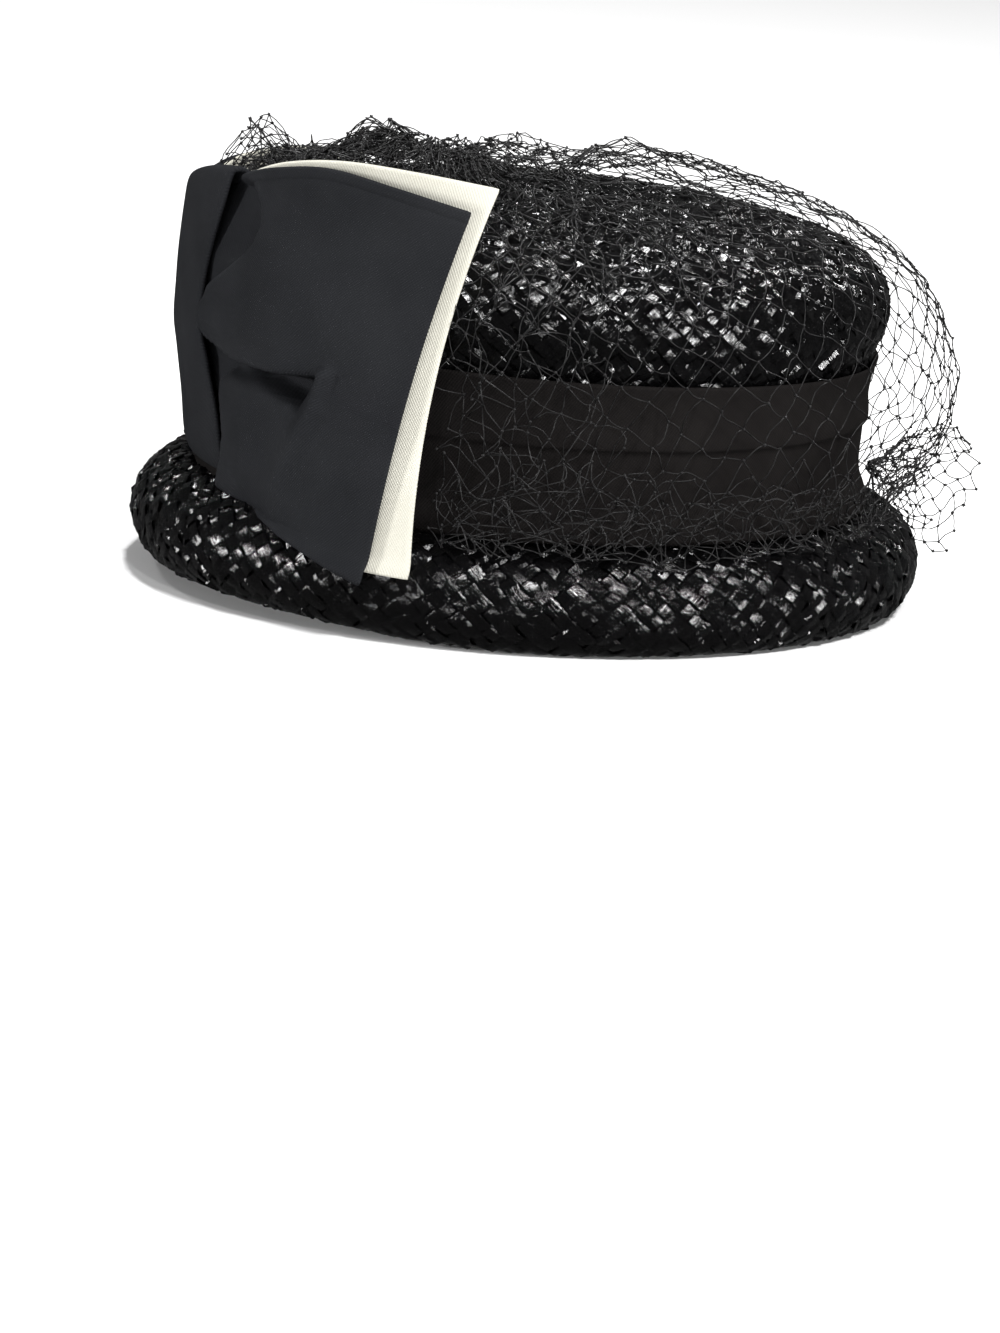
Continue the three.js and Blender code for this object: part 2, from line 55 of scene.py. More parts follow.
LEAN = 0.025  # how much the crown rises towards the front, per mm
LEAN_FROM, LEAN_FULL = 32, 90  # heights between which that sets in
GAP = 0.3  # clearance between pieces that lie on each other

crown_low, crown_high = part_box("crown")
HAT_Y = (crown_low.y + crown_high.y) / 2 / MM  # the head's axis in the row frame


def table(columns, *rows):
    """Rows of values with named columns."""
    names = columns.split()
    return [dict(zip(names, row)) for row in rows]


# Outlines of the hat: the crown's from its foot to the middle of its top, the brim's from the ring it
# rests on out and over to its collar.
CROWN_SIDE = table(
    "r z",
    (100.0, 30.7), (99.4, 35), (97.3, 40), (96.7, 48), (97.2, 60), (98.4, 72), (100.6, 81),
    (102.9, 87.5), (103.2, 92.5), (102.0, 98), (98.2, 103.6), (90.5, 108.6), (77.0, 112.4),
    (56.0, 115.2), (30.0, 116.7), (0, 117),
)
BRIM_SIDE = table(
    "r z",
    (104.8, 0.2), (107.6, 0), (110.4, 0.1), (114.2, 1.9), (117.6, 7.2), (118.7, 14), (116.4, 21),
    (111.4, 26.4), (105.0, 29.3), (98.2, 30.1),
)
FRONT_RISE = 3  # of the brim
BAND_SIDE = table(
    "r z",
    (101.6, 30.4), (101.2, 34), (99.0, 40), (98.4, 46), (98.7, 56.4), (99.4, 58), (99.4, 66),
    (100.2, 72), (101.6, 77),
)

# The bow's layers, section by section from its middle to its edge: the angle and level of each one's
# top and foot. A level is a height on the wearer's left, and from_level() gives the height anywhere.
BLACK_SECTIONS = table(
    "topPhi topZ lowPhi lowZ",
    (0, 115.8, 0, 37), (12, 116.2, 12, 35), (21, 120.6, 20, 32.4), (32, 125.6, 28, 30.6),
    (43, 128.6, 37, 27.8), (55, 126.4, 46, 23.4), (66, 123, 55.4, 17.8),
)
IVORY_SECTIONS = table(
    "topPhi topZ lowPhi lowZ",
    (0, 115, 0, 42.5), (12, 115.4, 12, 42), (21, 121, 21, 39.5), (32, 127.2, 29, 33),
    (44, 130.8, 39, 27.5), (57, 131, 50, 22), (69.3, 129.6, 61.6, 20.5),
)
# How far the wings stand out at a low and a high level, and how far apart their layers are there.
WING_LOW, WING_HIGH = 30, 120
WING_STAND = table(
    "phi lowR highR lowGap highGap",
    (0, 98.5, 103.0, 1.8, 1.8), (20, 99.5, 103.4, 2.0, 2.2), (30, 104.0, 105.2, 2.6, 3.6),
    (40, 110.0, 106.6, 2.8, 4.0), (50, 114.2, 107.2, 2.8, 4.6), (60, 115.8, 107.6, 3.0, 5.4),
    (70, 116.4, 108.0, 3.2, 5.8),
)
# On the wearer's right the bow slants: high places lie below their level, and low ones above it.
SLANT_TOP, SLANT_LOW = 17, -4
SLANT_TOP_Z, SLANT_LOW_Z = 108, 28
SLANT_RATE = (SLANT_TOP - SLANT_LOW) / (SLANT_TOP_Z - SLANT_LOW_Z)
SLANT_FROM, SLANT_FULL = -20, 36  # angles to the wearer's right between which the slant sets in
# The black layer's upper lobe stands out beyond this line, which runs down from the top beside the strip
# and turns along the dart's upper edge. The lower lobe has its own line.
UPPER_LOBE = table(
    "phi level",
    (20, 128), (25, 121), (29, 115), (30.4, 109), (29.4, 104), (26.8, 99.8), (23.4, 95), (18.6, 89.5),
    (14.4, 82), (13.6, 76), (16.5, 72.6), (22, 70.6), (29.2, 69.2), (38, 69.8), (45.5, 72.2),
)
LOWER_LOBE = table(
    "phi level",
    (30, 66.5), (22.5, 66.2), (18.8, 63), (18.6, 56), (20, 47), (19, 40), (17.5, 33), (16, 26),
)
LOW_RIDGE = table("phi level", (46.2, 72.2), (44.8, 63), (42.2, 55), (39.2, 44), (37, 34))
DART = table("phi level", (22, 69.8), (41.2, 60.6), (44.8, 71.6))
# Each fold is full up to an angle and between two levels, and ends a little beyond them.
FOLD_REACH = table(
    "fold fullPhi endPhi footLevel lowLevel highLevel endLevel",
    ("upper", 34, 56, 0, 1, 104, 122),
    ("hollow", 30, 33, 70, 76, 113, 122),
    ("lower", 24, 44, 22, 46, 62, 70),
    ("slot", 19, 22, 36, 46, 62, 70),
)
UPPER_LOBE_HEIGHTS = 4.0, 6.6  # at its top and lower down
LOWER_LOBE_HEIGHT = 4.6
RIDGE_HEIGHTS, RIDGE_WIDTHS = (4.6, 1.2), (2.0, 5)  # at its top and at its foot
HOLLOW_DEPTH, DART_DEPTH = 9, 8.0
DART_SHARE = 0.8  # how much of the upper lobe is pressed down beside the dart
FAR_FOLDS = 0.4  # the folds of the wing on the wearer's right, over those on the left
MM_PER_DEGREE = 1.9  # length round the bow
HEM_DEPTH, HEM_BELOW, HEM_WIDTH = 0.5, 2.6, 0.55  # the stitched groove along each wing's top
# The knot strip from its foot over the top. edge is half its width in degrees, flare how far its edges
# lie behind its middle.
STRIP_PATH = table(
    "r z edge flare",
    (102.4, 35.6, 16.8, 0), (103.7, 40, 17, 0), (105.2, 52, 15.4, 0.4), (107.4, 66, 13, 0.4),
    (108.7, 75, 11.8, 0.2), (108.6, 86, 12.2, 0), (108.4, 98, 14.2, 0), (107.8, 111, 16.2, 0.6),
    (107.0, 119.4, 17.2, 0.9), (105.4, 121.3, 17.4, 1.0), (102.4, 120.6, 17.4, 1.1), (101.0, 116.4, 17, 1.0),
)
STRIP_FRONT = STRIP_PATH[:9]
BLACK_WALL, IVORY_WALL, STRIP_WALL = 1.3, 1.1, 1.5
CAD_BLACK_WALL, CAD_IVORY_WALL, CAD_STRIP_WALL = 1.6, 1.2, 1.6

VEIL_REACH = 189  # from the tip of the crown to the hem, laid flat
VEIL_SHORT = 0.886  # how far the net is drawn in towards the front, over its own length
# Sections of the veil at three places round it. part is the share of the way to the hem.
VEIL_LINES = table(
    "part sideR sideZ quarterR quarterZ backR backZ",
    (0, 0, 121.5, 0, 121.5, 0, 121.5),
    (0.15, 29, 121.2, 29, 122.5, 29, 125.5),
    (0.3, 58, 119.5, 58, 121, 57, 123),
    (0.45, 86, 114.5, 86, 115.5, 85, 116),
    (0.55, 101, 105, 103, 106, 102, 108),
    (0.62, 106.5, 93, 111, 95, 114, 99),
    (0.7, 106, 78, 113.5, 80, 121, 85),
    (0.8, 103.4, 58, 111, 60, 125, 67),
    (0.88, 103.4, 42, 107, 44, 123, 52),
    (0.95, 106.5, 32, 106.5, 34, 113, 41),
    (1, 114.6, 26.4, 112, 28, 105.6, 36.5),
)
# Where the net puffs up over the crown.
VEIL_PUFFS = table(
    "x y rise spread",
    (0, -93, 19, 10), (19, -74, 7, 10), (0, -56, 8, 12), (19, -37, 6, 11), (0, 21, 8, 15),
)

# -------- small helpers


def look_up(rows, key, column, at):
    """A table's column at values of its key column, on a smooth curve."""
    keys = np.array([row[key] for row in rows], float)
    values = np.array([row[column] for row in rows], float)
    at = np.asarray(at, float)
    i = np.clip(np.searchsorted(keys, at, side="left") - 1, 0, len(keys) - 2)
    before, start = values[np.maximum(i - 1, 0)], values[i]
    end, after = values[i + 1], values[np.minimum(i + 2, len(keys) - 1)]
    t = np.clip((at - keys[i]) / (keys[i + 1] - keys[i]), 0, 1)
    square = 2 * before - 5 * start + 4 * end - after
    cube = 3 * start - before - 3 * end + after
    return start + ((end - before) * t + square * t ** 2 + cube * t ** 3) / 2


def by_share(rows, share):
    """All columns of a table at a share of the way from first row to last."""
    spaced = [dict(row, share=i / (len(rows) - 1)) for i, row in enumerate(rows)]
    return (look_up(spaced, "share", name, share) for name in rows[0])


def straight(rows, z):
    """Radius at a height on an outline."""
    return np.interp(z, [row["z"] for row in rows], [row["r"] for row in rows])


def smooth(value, start, end):
    """Eases from 0 at start to 1 at end."""
    t = np.clip((np.asarray(value, float) - start) / (end - start), 0, 1)
    return t * t * (3 - 2 * t)


def lerp(a, b, t):
    return a + (b - a) * t


def unit(vectors):
    return vectors / np.maximum(np.linalg.norm(vectors, axis=-1, keepdims=True), 1e-9)


def stacked(*values):
    """Points from the arrays of their coordinates."""
    return np.stack(np.broadcast_arrays(*values), axis=-1)


def oval_point(phi, r, z):
    """A place in the hat's frame from its angle, radius and height."""
    a = np.radians(phi)
    return stacked(OVAL * r * np.sin(a), -r * np.cos(a), z)


def leaned(points):
    """The crown, and all that lies on it, rises towards the front."""
    lifted = points.copy()
    lifted[..., 2] -= LEAN * points[..., 1] * smooth(points[..., 2], LEAN_FROM, LEAN_FULL)
    return lifted


def risen(points):
    """The front of the brim curls up off the surface."""
    towards_front = smooth(-points[..., 1], 20, 104)
    below_collar = 1 - smooth(points[..., 2], 30, 36)
    lifted = points.copy()
    lifted[..., 2] += FRONT_RISE * towards_front * below_collar
    return leaned(lifted)


def placed(points):
    """From the hat's frame in millimetres to the row frame in metres."""
    return (points + (0, HAT_Y, 0)) * MM


WAVES = 7
WAVE_SIZE = 1.4  # of each single wave, which makes the size of all together about 1


def waves(points, length, seed):
    """Smooth random offsets in all three directions, length millimetres a wave."""
    random = np.random.default_rng(seed)
    total = np.zeros(points.shape)
    for _ in range(WAVES):
        direction = unit(random.normal(size=3)) * 2 * np.pi / length * random.uniform(0.6, 1.5)
        phase = random.uniform(0, 2 * np.pi, 3)
        total += np.sin((points @ direction)[..., None] + phase) * unit(random.normal(size=3)) * WAVE_SIZE
    return total / math.sqrt(WAVES)


def linked(name, data):
    """A new object in the scene."""
    thing = bpy.data.objects.new(name, data)
    bpy.context.scene.collection.objects.link(thing)
    return thing


def make_piece(name, points, faces, material, node, uv=None):
    """A mesh in the row frame that rides on the part's one body."""
    mesh = bpy.data.meshes.new(name)
    mesh.from_pydata(placed(points).reshape(-1, 3).tolist(), [], faces)
    if uv is not None:
        layer = mesh.uv_layers.new(name="cloth")
        corners = np.zeros(len(mesh.loops), int)
        mesh.loops.foreach_get("vertex_index", corners)
        layer.data.foreach_set("uv", uv[corners].ravel())
    mesh.shade_smooth()
    mesh.materials.append(material)
    mesh.validate()
    piece = linked(name, mesh)
    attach(piece, "root")
    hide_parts(node)
    return piece


def grid_faces(rows, columns, closed=False, start=0, flip=False):
    """Quads of a grid of points, row by row. closed joins the last column to the first."""
    i, j = np.meshgrid(np.arange(rows - 1), np.arange(columns if closed else columns - 1), indexing="ij")
    k = (j + 1) % columns
    low, high = i * columns, (i + 1) * columns
    quads = np.stack([low + j, low + k, high + k, high + j], axis=-1).reshape(-1, 4) + start
    return (quads[:, ::-1] if flip else quads).tolist()


def repeated(faces, count, size, start=0):
    """The faces of many equal bodies of size points each."""
    first = np.arange(count)[:, None, None] * size + start
    return (np.array(faces)[None] + first).reshape(-1, len(faces[0])).tolist()


def double_wall(outer, inner, ends=2):
    """A ring's points and faces from the grids of its two sides, closed at its first end or at both."""
    rows, columns = outer.shape[:2]
    size = rows * columns
    faces = grid_faces(rows, columns, closed=True)
    faces += grid_faces(len(inner), columns, closed=True, start=size, flip=True)
    last = size - columns, size + (len(inner) - 1) * columns
    for outside, inside in [(0, size), last][:ends]:
        for j in range(columns):
            k = (j + 1) % columns
            quad = [outside + j, inside + j, inside + k, outside + k]
            faces.append(quad if outside == 0 else quad[::-1])
    return np.concatenate([outer.reshape(-1, 3), inner.reshape(-1, 3)]), faces


# -------- materials
def new_material(name, color, roughness, **sockets):
    material = bpy.data.materials.new(name)
    material.use_nodes = True
    shader = material.node_tree.nodes["Principled BSDF"]
    shader.inputs["Base Color"].default_value = (*color, 1)
    shader.inputs["Roughness"].default_value = roughness
    for socket, value in sockets.items():
        shader.inputs[socket.replace("_", " ")].default_value = value
    return material, shader


class Nodes:
    """Short names for the nodes that the materials share."""

    def __init__(self, material):
        self.tree = material.node_tree

    def add(self, kind, inputs=(), **settings):
        node = self.tree.nodes.new(kind)
        for key, value in settings.items():
            setattr(node, key, value)
        for socket, value in dict(inputs).items():
            if isinstance(value, bpy.types.NodeSocket):
                self.tree.links.new(value, node.inputs[socket])
            else:
                node.inputs[socket].default_value = value
        return node

    def uv(self, scale=(1, 1, 1), turn=0.0):
        source = self.add("ShaderNodeUVMap", uv_map="cloth")
        return self.add("ShaderNodeMapping", {0: source.outputs[0], 2: (0, 0, turn), 3: scale}).outputs[0]

    def place(self):
        source = self.add("ShaderNodeTexCoord")
        return self.add("ShaderNodeMapping", {0: source.outputs["Object"]}).outputs[0]

    def noise(self, vector, scale, detail=3.0, rough=0.5):
        inputs = {"Vector": vector, "Scale": scale, "Detail": detail, "Roughness": rough}
        return self.add("ShaderNodeTexNoise", inputs).outputs[0]

    def bands(self, vector, scale):
        inputs = {"Vector": vector, "Scale": scale, "Distortion": 0.4, "Detail": 1.0}
        return self.add("ShaderNodeTexWave", inputs).outputs["Fac"]

    def scaled(self, a, by, plus):
        return self.add("ShaderNodeMath", {0: a, 1: by, 2: plus}, operation="MULTIPLY_ADD").outputs[0]

    def ramp(self, value, low, high, to_low=0.0, to_high=1.0):
        inputs = {0: value, 1: low, 2: high, 3: to_low, 4: to_high}
        return self.add("ShaderNodeMapRange", inputs).outputs[0]

    def blend(self, amount, color_a, color_b):
        inputs = {0: amount, 6: (*color_a, 1), 7: (*color_b, 1)}    # 6 and 7 are the two colours
        return self.add("ShaderNodeMix", inputs, data_type="RGBA").outputs[2]

    def bump(self, height, distance, strength=1.0, under=None):
        inputs = {"Height": height, "Distance": distance, "Strength": strength}
        if under is not None:
            inputs["Normal"] = under
        return self.add("ShaderNodeBump", inputs).outputs[0]

    def into(self, shader, **sockets):
        for socket, value in sockets.items():
            self.tree.links.new(value, shader.inputs[socket.replace("_", " ")])


def straw_material():
    """Black lacquer over flat straws, each with fine grooves along it. The colour is painted darker in the
    grooves, a painted shade, and lighter on their crests.
    """
    material, shader = new_material("lacquered_straw", (0.001, 0.001, 0.0011), 0.2, IOR=1.36)
    n = Nodes(material)
    grooves = n.noise(n.uv((1, 0.03, 1)), scale=1.9, rough=0.6)
    lumps = n.noise(n.uv((0.6, 0.3, 1)), scale=1.1, detail=2.0)
    rough = n.ramp(n.noise(n.uv((1, 0.2, 1)), scale=2.1), 0.35, 0.7, to_low=0.05, to_high=0.18)
    coarse = n.bump(lumps, distance=0.00008)
    n.into(shader, Normal=n.bump(grooves, distance=0.00022, under=coarse), Roughness=rough)
    # Painted shade: the colour darkens in the grooves and lightens on their crests.
    groove_shade = n.blend(n.ramp(grooves, 0.4, 0.75), (0.0006, 0.0006, 0.0007), (0.0016, 0.0015, 0.0016))
    n.into(shader, Base_Color=groove_shade)
    return material


WAVE_PERIOD = math.pi / 10  # length of one wave of the wave texture at scale 1


def cloth_material(name, color, light, pitch, depth, turn):
    """Fine diagonal ribs of yarn, pitch millimetres apart and a little uneven. The rib crests are painted
    towards the colour light, a painted highlight, and the valleys stay at color.
    """
    material, shader = new_material(name, color, 0.8, IOR=1.12)
    n = Nodes(material)
    ribs = n.bands(n.uv(turn=turn), WAVE_PERIOD / pitch)
    cross = n.bands(n.uv(turn=turn + math.pi / 2), WAVE_PERIOD / pitch * 0.8)
    yarn = n.scaled(cross, 0.4, ribs)
    slub = n.noise(n.uv((0.2, 1.2, 1), turn), scale=0.9)
    height = n.scaled(slub, 0.7, yarn)
    wrinkles = n.bump(n.noise(n.place(), scale=60.0, detail=2.0), distance=0.0006, strength=0.6)
    n.into(shader, Normal=n.bump(height, depth, under=wrinkles))
    # Painted highlight: the higher a rib, the lighter its colour.
    rib_crest_highlight = n.ramp(yarn, 0, 1.4)
    wear = n.ramp(n.noise(n.place(), scale=45.0, detail=2.0), 0.3, 0.7, to_high=0.4)
    tone = n.scaled(rib_crest_highlight, 0.6, wear)
    # The base colour mixes the painted rib highlight with random lighter patches.
    n.into(shader, Base_Color=n.blend(tone, color, light))
    return material


def thread_material():
    material, shader = new_material("veiling_thread", (0.010, 0.010, 0.011), 0.42, IOR=1.3)
    n = Nodes(material)
    fuzz = n.noise(n.place(), scale=900.0, detail=2.0)
    n.into(shader, Base_Color=n.blend(fuzz, (0.005, 0.005, 0.0055), (0.011, 0.0105, 0.0104)))
    n.into(shader, Normal=n.bump(fuzz, distance=0.0001))
    return material


STRAW = straw_material()
# Each cloth's second colour is its painted highlight, which the rib crests are painted towards.
RIBBON = cloth_material(
    "ribbon_rib", (0.0034, 0.0028, 0.0027), (0.0070, 0.0062, 0.0060), pitch=0.7, depth=0.00008, turn=0.6,
)
FAILLE = cloth_material(
    "black_twill", (0.0062, 0.0066, 0.0077), (0.0130, 0.0135, 0.0151), pitch=0.6, depth=0.00007, turn=0.75,
)
IVORY = cloth_material(
    "ivory_twill", (0.35, 0.34, 0.29), (0.44, 0.43, 0.38), pitch=0.6, depth=0.00007, turn=-0.75,
)
THREAD = thread_material()


# -------- woven straw
class Outline:
    """A section of the hat as a fine curve, with its outward normal.

    turn grows by the angle that a strand at 45 degrees runs round the hat, in radians.
    """

    def __init__(self, rows, step=0.4):
        corner = np.array([(row["r"], row["z"]) for row in rows])
        length = np.r_[0, np.cumsum(np.hypot(*np.diff(corner, axis=0).T))]
        keyed = [dict(row, s=s) for row, s in zip(rows, length)]
        self.s = np.arange(0, length[-1], step)
        self.r = np.maximum(look_up(keyed, "s", "r", self.s), 0.01)
        self.z = look_up(keyed, "s", "z", self.s)
        rate_r, rate_z = np.gradient(self.r), np.gradient(self.z)
        size = np.hypot(rate_r, rate_z)
        self.out_r, self.out_z = rate_z / size, -rate_r / size
        self.turn = np.r_[0, np.cumsum(size[1:] / (ROUND * self.r[1:]))]

    def turn_at(self, r=None, z=None):
        """turn at a height on the side, or at a radius on the top."""
        if z is not None:
            return float(self.turn[np.argmax(self.z >= z)])
        widest = int(np.argmax(self.r))
        return float(self.turn[widest + np.argmax(self.r[widest:] <= r)])

    def at(self, turn, height):
        """Radius and height of a place that stands off the curve."""
        curves = (self.r, self.z, self.out_r, self.out_z)
        r, z, out_r, out_z = (np.interp(turn, self.turn, values) for values in curves)
        return r + height * out_r, z + height * out_z


# One strand is three fine straws side by side: share across its width, and height in millimetres.
STRAND_SECTION = table(
    "across height",
    (-0.5, -0.16), (-0.37, 0.16), (-0.18, 0.04), (0.0, 0.24), (0.18, 0.04), (0.37, 0.16), (0.5, -0.16),
)
STRAND_WIDTH = 1.05  # over the pitch
STRAND_STEPS = 3  # points along a strand in each crossing
STRAND_RELIEF = 0.42  # how far it goes over and under the others
STRAND_EASE = 0.28, 0.72  # the part of the way between two crossings in which it does so
# How unevenly it tilts across its width, lifts, wanders aside and rocks along its length.
STRAND_TILT, STRAND_LIFT, STRAND_WANDER, STRAND_ROCK = 0.36, 0.06, 0.05, 0.75
STRAW_HEIGHTS = 0.5, 1.3  # how unevenly the straws of its section stand up


def crossing_side(strand, crossing, period):
    """1 where a strand lies on top and -1 where it lies under."""
    return np.where((strand - crossing) % period == 0, -1.0, 1.0)


def along_strand(values, along):
    """Values given crossing by crossing, eased from each to the next."""
    cell = np.floor(along).astype(int)
    ease = smooth(along - cell, *STRAND_EASE)
    return lerp(values[:, cell], values[:, cell + 1], ease)[..., None]


def strands(outline, turns, count, hand, sink, bend, seed, period=2):
    """All strands of one hand of a weave, between two turns: points, faces, uv and which points are bends.

    own is a strand's place among those of its hand, and other its place among those that it crosses.
    """
    random = np.random.default_rng(seed)
    low, high = np.array(turns) * count / math.pi
    first, last = (math.floor(-high), math.ceil(-low)) if hand > 0 else (math.floor(low), math.ceil(high))
    along = np.arange(first * STRAND_STEPS, last * STRAND_STEPS + 1) / STRAND_STEPS + 0.5 / STRAND_STEPS
    crossings = np.arange(math.floor(along[0] - 0.5), math.ceil(along[-1] - 0.5) + 2)
    passed = along - 0.5 - crossings[0]
    nearest = np.rint(passed).astype(int)
    section = np.array([(row["across"], row["height"]) for row in STRAND_SECTION])
    strand = np.arange(count)[:, None, None]
    across = section[:, 0][None, None, :] * STRAND_WIDTH
    side = hand * crossing_side(strand[:, :, 0], crossings[None, :], period)

    def uneven(size):
        return random.normal(0, size, side.shape)

    wander = along_strand(uneven(STRAND_WANDER), passed)
    lift = along_strand(uneven(STRAND_LIFT), passed)
    tilt = along_strand(uneven(STRAND_TILT), passed)
    rock = (uneven(STRAND_ROCK)[:, nearest] * (passed - nearest))[..., None]
    straws = section[:, 1] * random.uniform(*STRAW_HEIGHTS, (count, 1, len(section)))
    own = strand + 0.5 + across + wander
    other = strand + along[None, :, None]
    height = STRAND_RELIEF * along_strand(side, passed) + lift + tilt * across + rock + straws - sink
    a, b = (own, other) if hand > 0 else (other, own)
    turn = math.pi * (a - b) / count
    phi = np.degrees(math.pi * (a + b) / count)
    r, z = outline.at(turn, height)
    points = bend(oval_point(phi, r, z))
    pitch = 2 * math.pi * ROUND * np.interp(np.mean(turns), outline.turn, outline.r) / count / math.sqrt(2)
    uv = stacked(across * pitch + random.uniform(0, 900, (count, 1, 1)), other * pitch)
    rings, size = points.shape[1:3]
    faces = repeated(grid_faces(rings, size, flip=hand > 0), count, rings * size)
    between_middles = np.arange(rings)[None, :, None] % STRAND_STEPS != STRAND_STEPS // 2
    bent = np.broadcast_to(between_middles, points.shape[:3])
    return points.reshape(-1, 3), faces, uv.reshape(-1, 2), bent.reshape(-1)


def creased(piece, bent):
    """Creases the strands where they bend down under the next, so that they lie flat between."""
    mesh = piece.data
    ends = np.empty(len(mesh.edges) * 2, dtype=np.int32)
    mesh.edges.foreach_get("vertices", ends)
    ends = ends.reshape(-1, 2)
    sharp = bent[ends].all(axis=1) & (np.abs(ends[:, 0] - ends[:, 1]) == 1)
    mesh.attributes.new("sharp_edge", "BOOLEAN", "EDGE").data.foreach_set("value", sharp)


def shell(outline, turns, count, bend, tip=False):
    """The straw's body under the strands, woven inside. With tip it closes over the middle of the top."""
    columns = 2 * count
    rows = int((turns[1] - turns[0]) / (math.pi / count)) + 1
    turn = np.linspace(*turns, rows)[:, None]
    column = np.arange(columns)[None, :]
    phi = column * 360 / columns
    woven = np.where((np.arange(rows)[:, None] + column) % 2 == 0, 0.0, INNER_RELIEF)
    levels = SHELL_OUTSIDE, SHELL_INSIDE - (woven - INNER_MEAN)
    outer, inner = (bend(oval_point(phi, *outline.at(turn, level))) for level in levels)
    points, faces = double_wall(outer, inner, ends=1 if tip else 2)
    if tip:
        last = (rows - 1) * columns + np.arange(columns)
        faces += [last.tolist(), (last + rows * columns)[::-1].tolist()]
    uv = stacked(phi, np.degrees(turn)).reshape(-1, 2)
    return points, faces, np.concatenate([uv, uv])


def straw_piece(name, parts, node, lowest=0.0):
    """One piece from parts of straw, with no point lower than lowest, creased where strands bend."""
    points, part_faces, uv, *bent = zip(*parts)
    starts = np.cumsum([0] + [len(part) for part in points]).tolist()
    faces = [[c + start for c in face] for start, quads in zip(starts, part_faces) for face in quads]
    points = np.concatenate(points)
    points[:, 2] = np.maximum(points[:, 2], lowest)
    piece = make_piece(name, points, faces, STRAW, node, np.concatenate(uv))
    if bent:
        creased(piece, np.concatenate(bent[0]))


CROWN = Outline(CROWN_SIDE)
BRIM = Outline(BRIM_SIDE)
CROWN_STRANDS, BRIM_STRANDS = 104, 112  # of each hand
BRIM_PERIOD = 3  # on the brim a strand goes under every third one
SINK = 0.75  # the strands' mean height under the outline
SINK_LESS = 0.1  # and how much less it is in each ring of the crown than in the one before
SHELL_OUTSIDE, SHELL_INSIDE = -1.3, -1.7
INNER_RELIEF, INNER_MEAN = 0.45, 0.2  # of the weave on the shell's inner side
FLOOR_CLEARANCE = 0.03  # least height of the brim's strands, which keeps their faces off the floor
BRIM_SHELL_FROM = 0.02  # turn at which the brim's shell starts, a little way in from its edge

# The number of the crown's strands halves at each of these turns, towards the middle of the top.
HALVINGS = [CROWN.turn_at(r=r) for r in (51, 25.5, 12.7)]
WOVEN_RINGS = [CROWN.turn_at(z=71), *HALVINGS, CROWN.turn_at(r=5)]
SHELL_RINGS = [0.0, *HALVINGS, CROWN.turn_at(r=4)]
TIP = len(SHELL_RINGS) - 2


def crown_ring(hand, k):
    count, sink, seed = CROWN_STRANDS >> k, SINK - SINK_LESS * k, 10 * k + hand + 5
    return strands(CROWN, WOVEN_RINGS[k:k + 2], count, hand, sink, leaned, seed)


def brim_ring(hand):
    turns = 0.0, BRIM.turn[-1]
    return strands(BRIM, turns, BRIM_STRANDS, hand, SINK, risen, 70 + hand, BRIM_PERIOD)


def crown_shell_ring(k):
    return shell(CROWN, SHELL_RINGS[k:k + 2], CROWN_STRANDS >> k, leaned, tip=k == TIP)


for hand, tag in ((1, "left"), (-1, "right")):
    rings = [crown_ring(hand, k) for k in range(len(WOVEN_RINGS) - 1)]
    straw_piece(f"crown_strands_{tag}", rings, "crown")
straw_piece("brim_strands", [brim_ring(1), brim_ring(-1)], "brim", FLOOR_CLEARANCE)
straw_piece("crown_shell", [crown_shell_ring(k) for k in range(TIP + 1)], "crown")
straw_piece("brim_shell", [shell(BRIM, (BRIM_SHELL_FROM, BRIM.turn[-1]), BRIM_STRANDS, risen)], "brim")


# -------- cloth
def cloth(middle, wall):
    """A closed cloth with rounded edges round a grid of points: points, faces, uv."""
    rows, columns = middle.shape[:2]
    across = unit(np.gradient(middle, axis=1))
    up = unit(np.gradient(middle, axis=0))
    normal = unit(np.cross(across, up))
    low = [(0, j) for j in range(columns - 1)]
    right = [(i, columns - 1) for i in range(rows - 1)]
    high = [(rows - 1, j) for j in range(columns - 1, 0, -1)]
    left = [(i, 0) for i in range(rows - 1, 0, -1)]
    bi, bj = np.array(low + right + high + left).T
    outward = (bj == columns - 1)[:, None] * across[bi, bj] - (bj == 0)[:, None] * across[bi, bj]
    outward = outward + (bi == rows - 1)[:, None] * up[bi, bj] - (bi == 0)[:, None] * up[bi, bj]
    edge = middle[bi, bj] + unit(outward) * wall / 2
    size = rows * columns
    half = normal * wall / 2
    points = np.concatenate([(middle + half).reshape(-1, 3), (middle - half).reshape(-1, 3), edge])
    faces = grid_faces(rows, columns) + grid_faces(rows, columns, start=size, flip=True)
    loop = bi * columns + bj
    count = len(loop)
    for k in range(count):
        m = (k + 1) % count
        faces.append([2 * size + k, 2 * size + m, int(loop[m]), int(loop[k])])
        faces.append([size + int(loop[k]), size + int(loop[m]), 2 * size + m, 2 * size + k])
    step_u = np.linalg.norm(np.diff(middle, axis=1), axis=-1).mean(axis=0)
    step_v = np.linalg.norm(np.diff(middle, axis=0), axis=-1).mean(axis=1)
    flat = np.stack(np.meshgrid(np.r_[0, np.cumsum(step_u)], np.r_[0, np.cumsum(step_v)]), axis=-1)
    uv = np.concatenate([flat.reshape(-1, 2), flat.reshape(-1, 2), flat[bi, bj]])
    return points, faces, uv


# The ribbon band, row by row upwards: below the fold along its middle, in it, and above it.
BAND_ROWS = np.r_[np.linspace(30.5, 56.6, 22), 57.0, 57.3, 57.7, np.linspace(58.3, 76.9, 16)][:, None]
BAND_AROUND = 192
BAND_INNER_STEP = 3  # every third row goes on down its inner side
BAND_IN, BAND_WALL = 0.25, 0.7  # how far its outer side lies inside the outline, and its least thickness
BAND_FOLD_DEPTH, BAND_FOLD_SETS_IN = 0.5, (50, 100)  # and the angles between which the fold sets in
BAND_TUCK = 0.35  # how deep the ribbon is tucked in below the fold, over the fold's depth
BAND_WRINKLE = 0.16


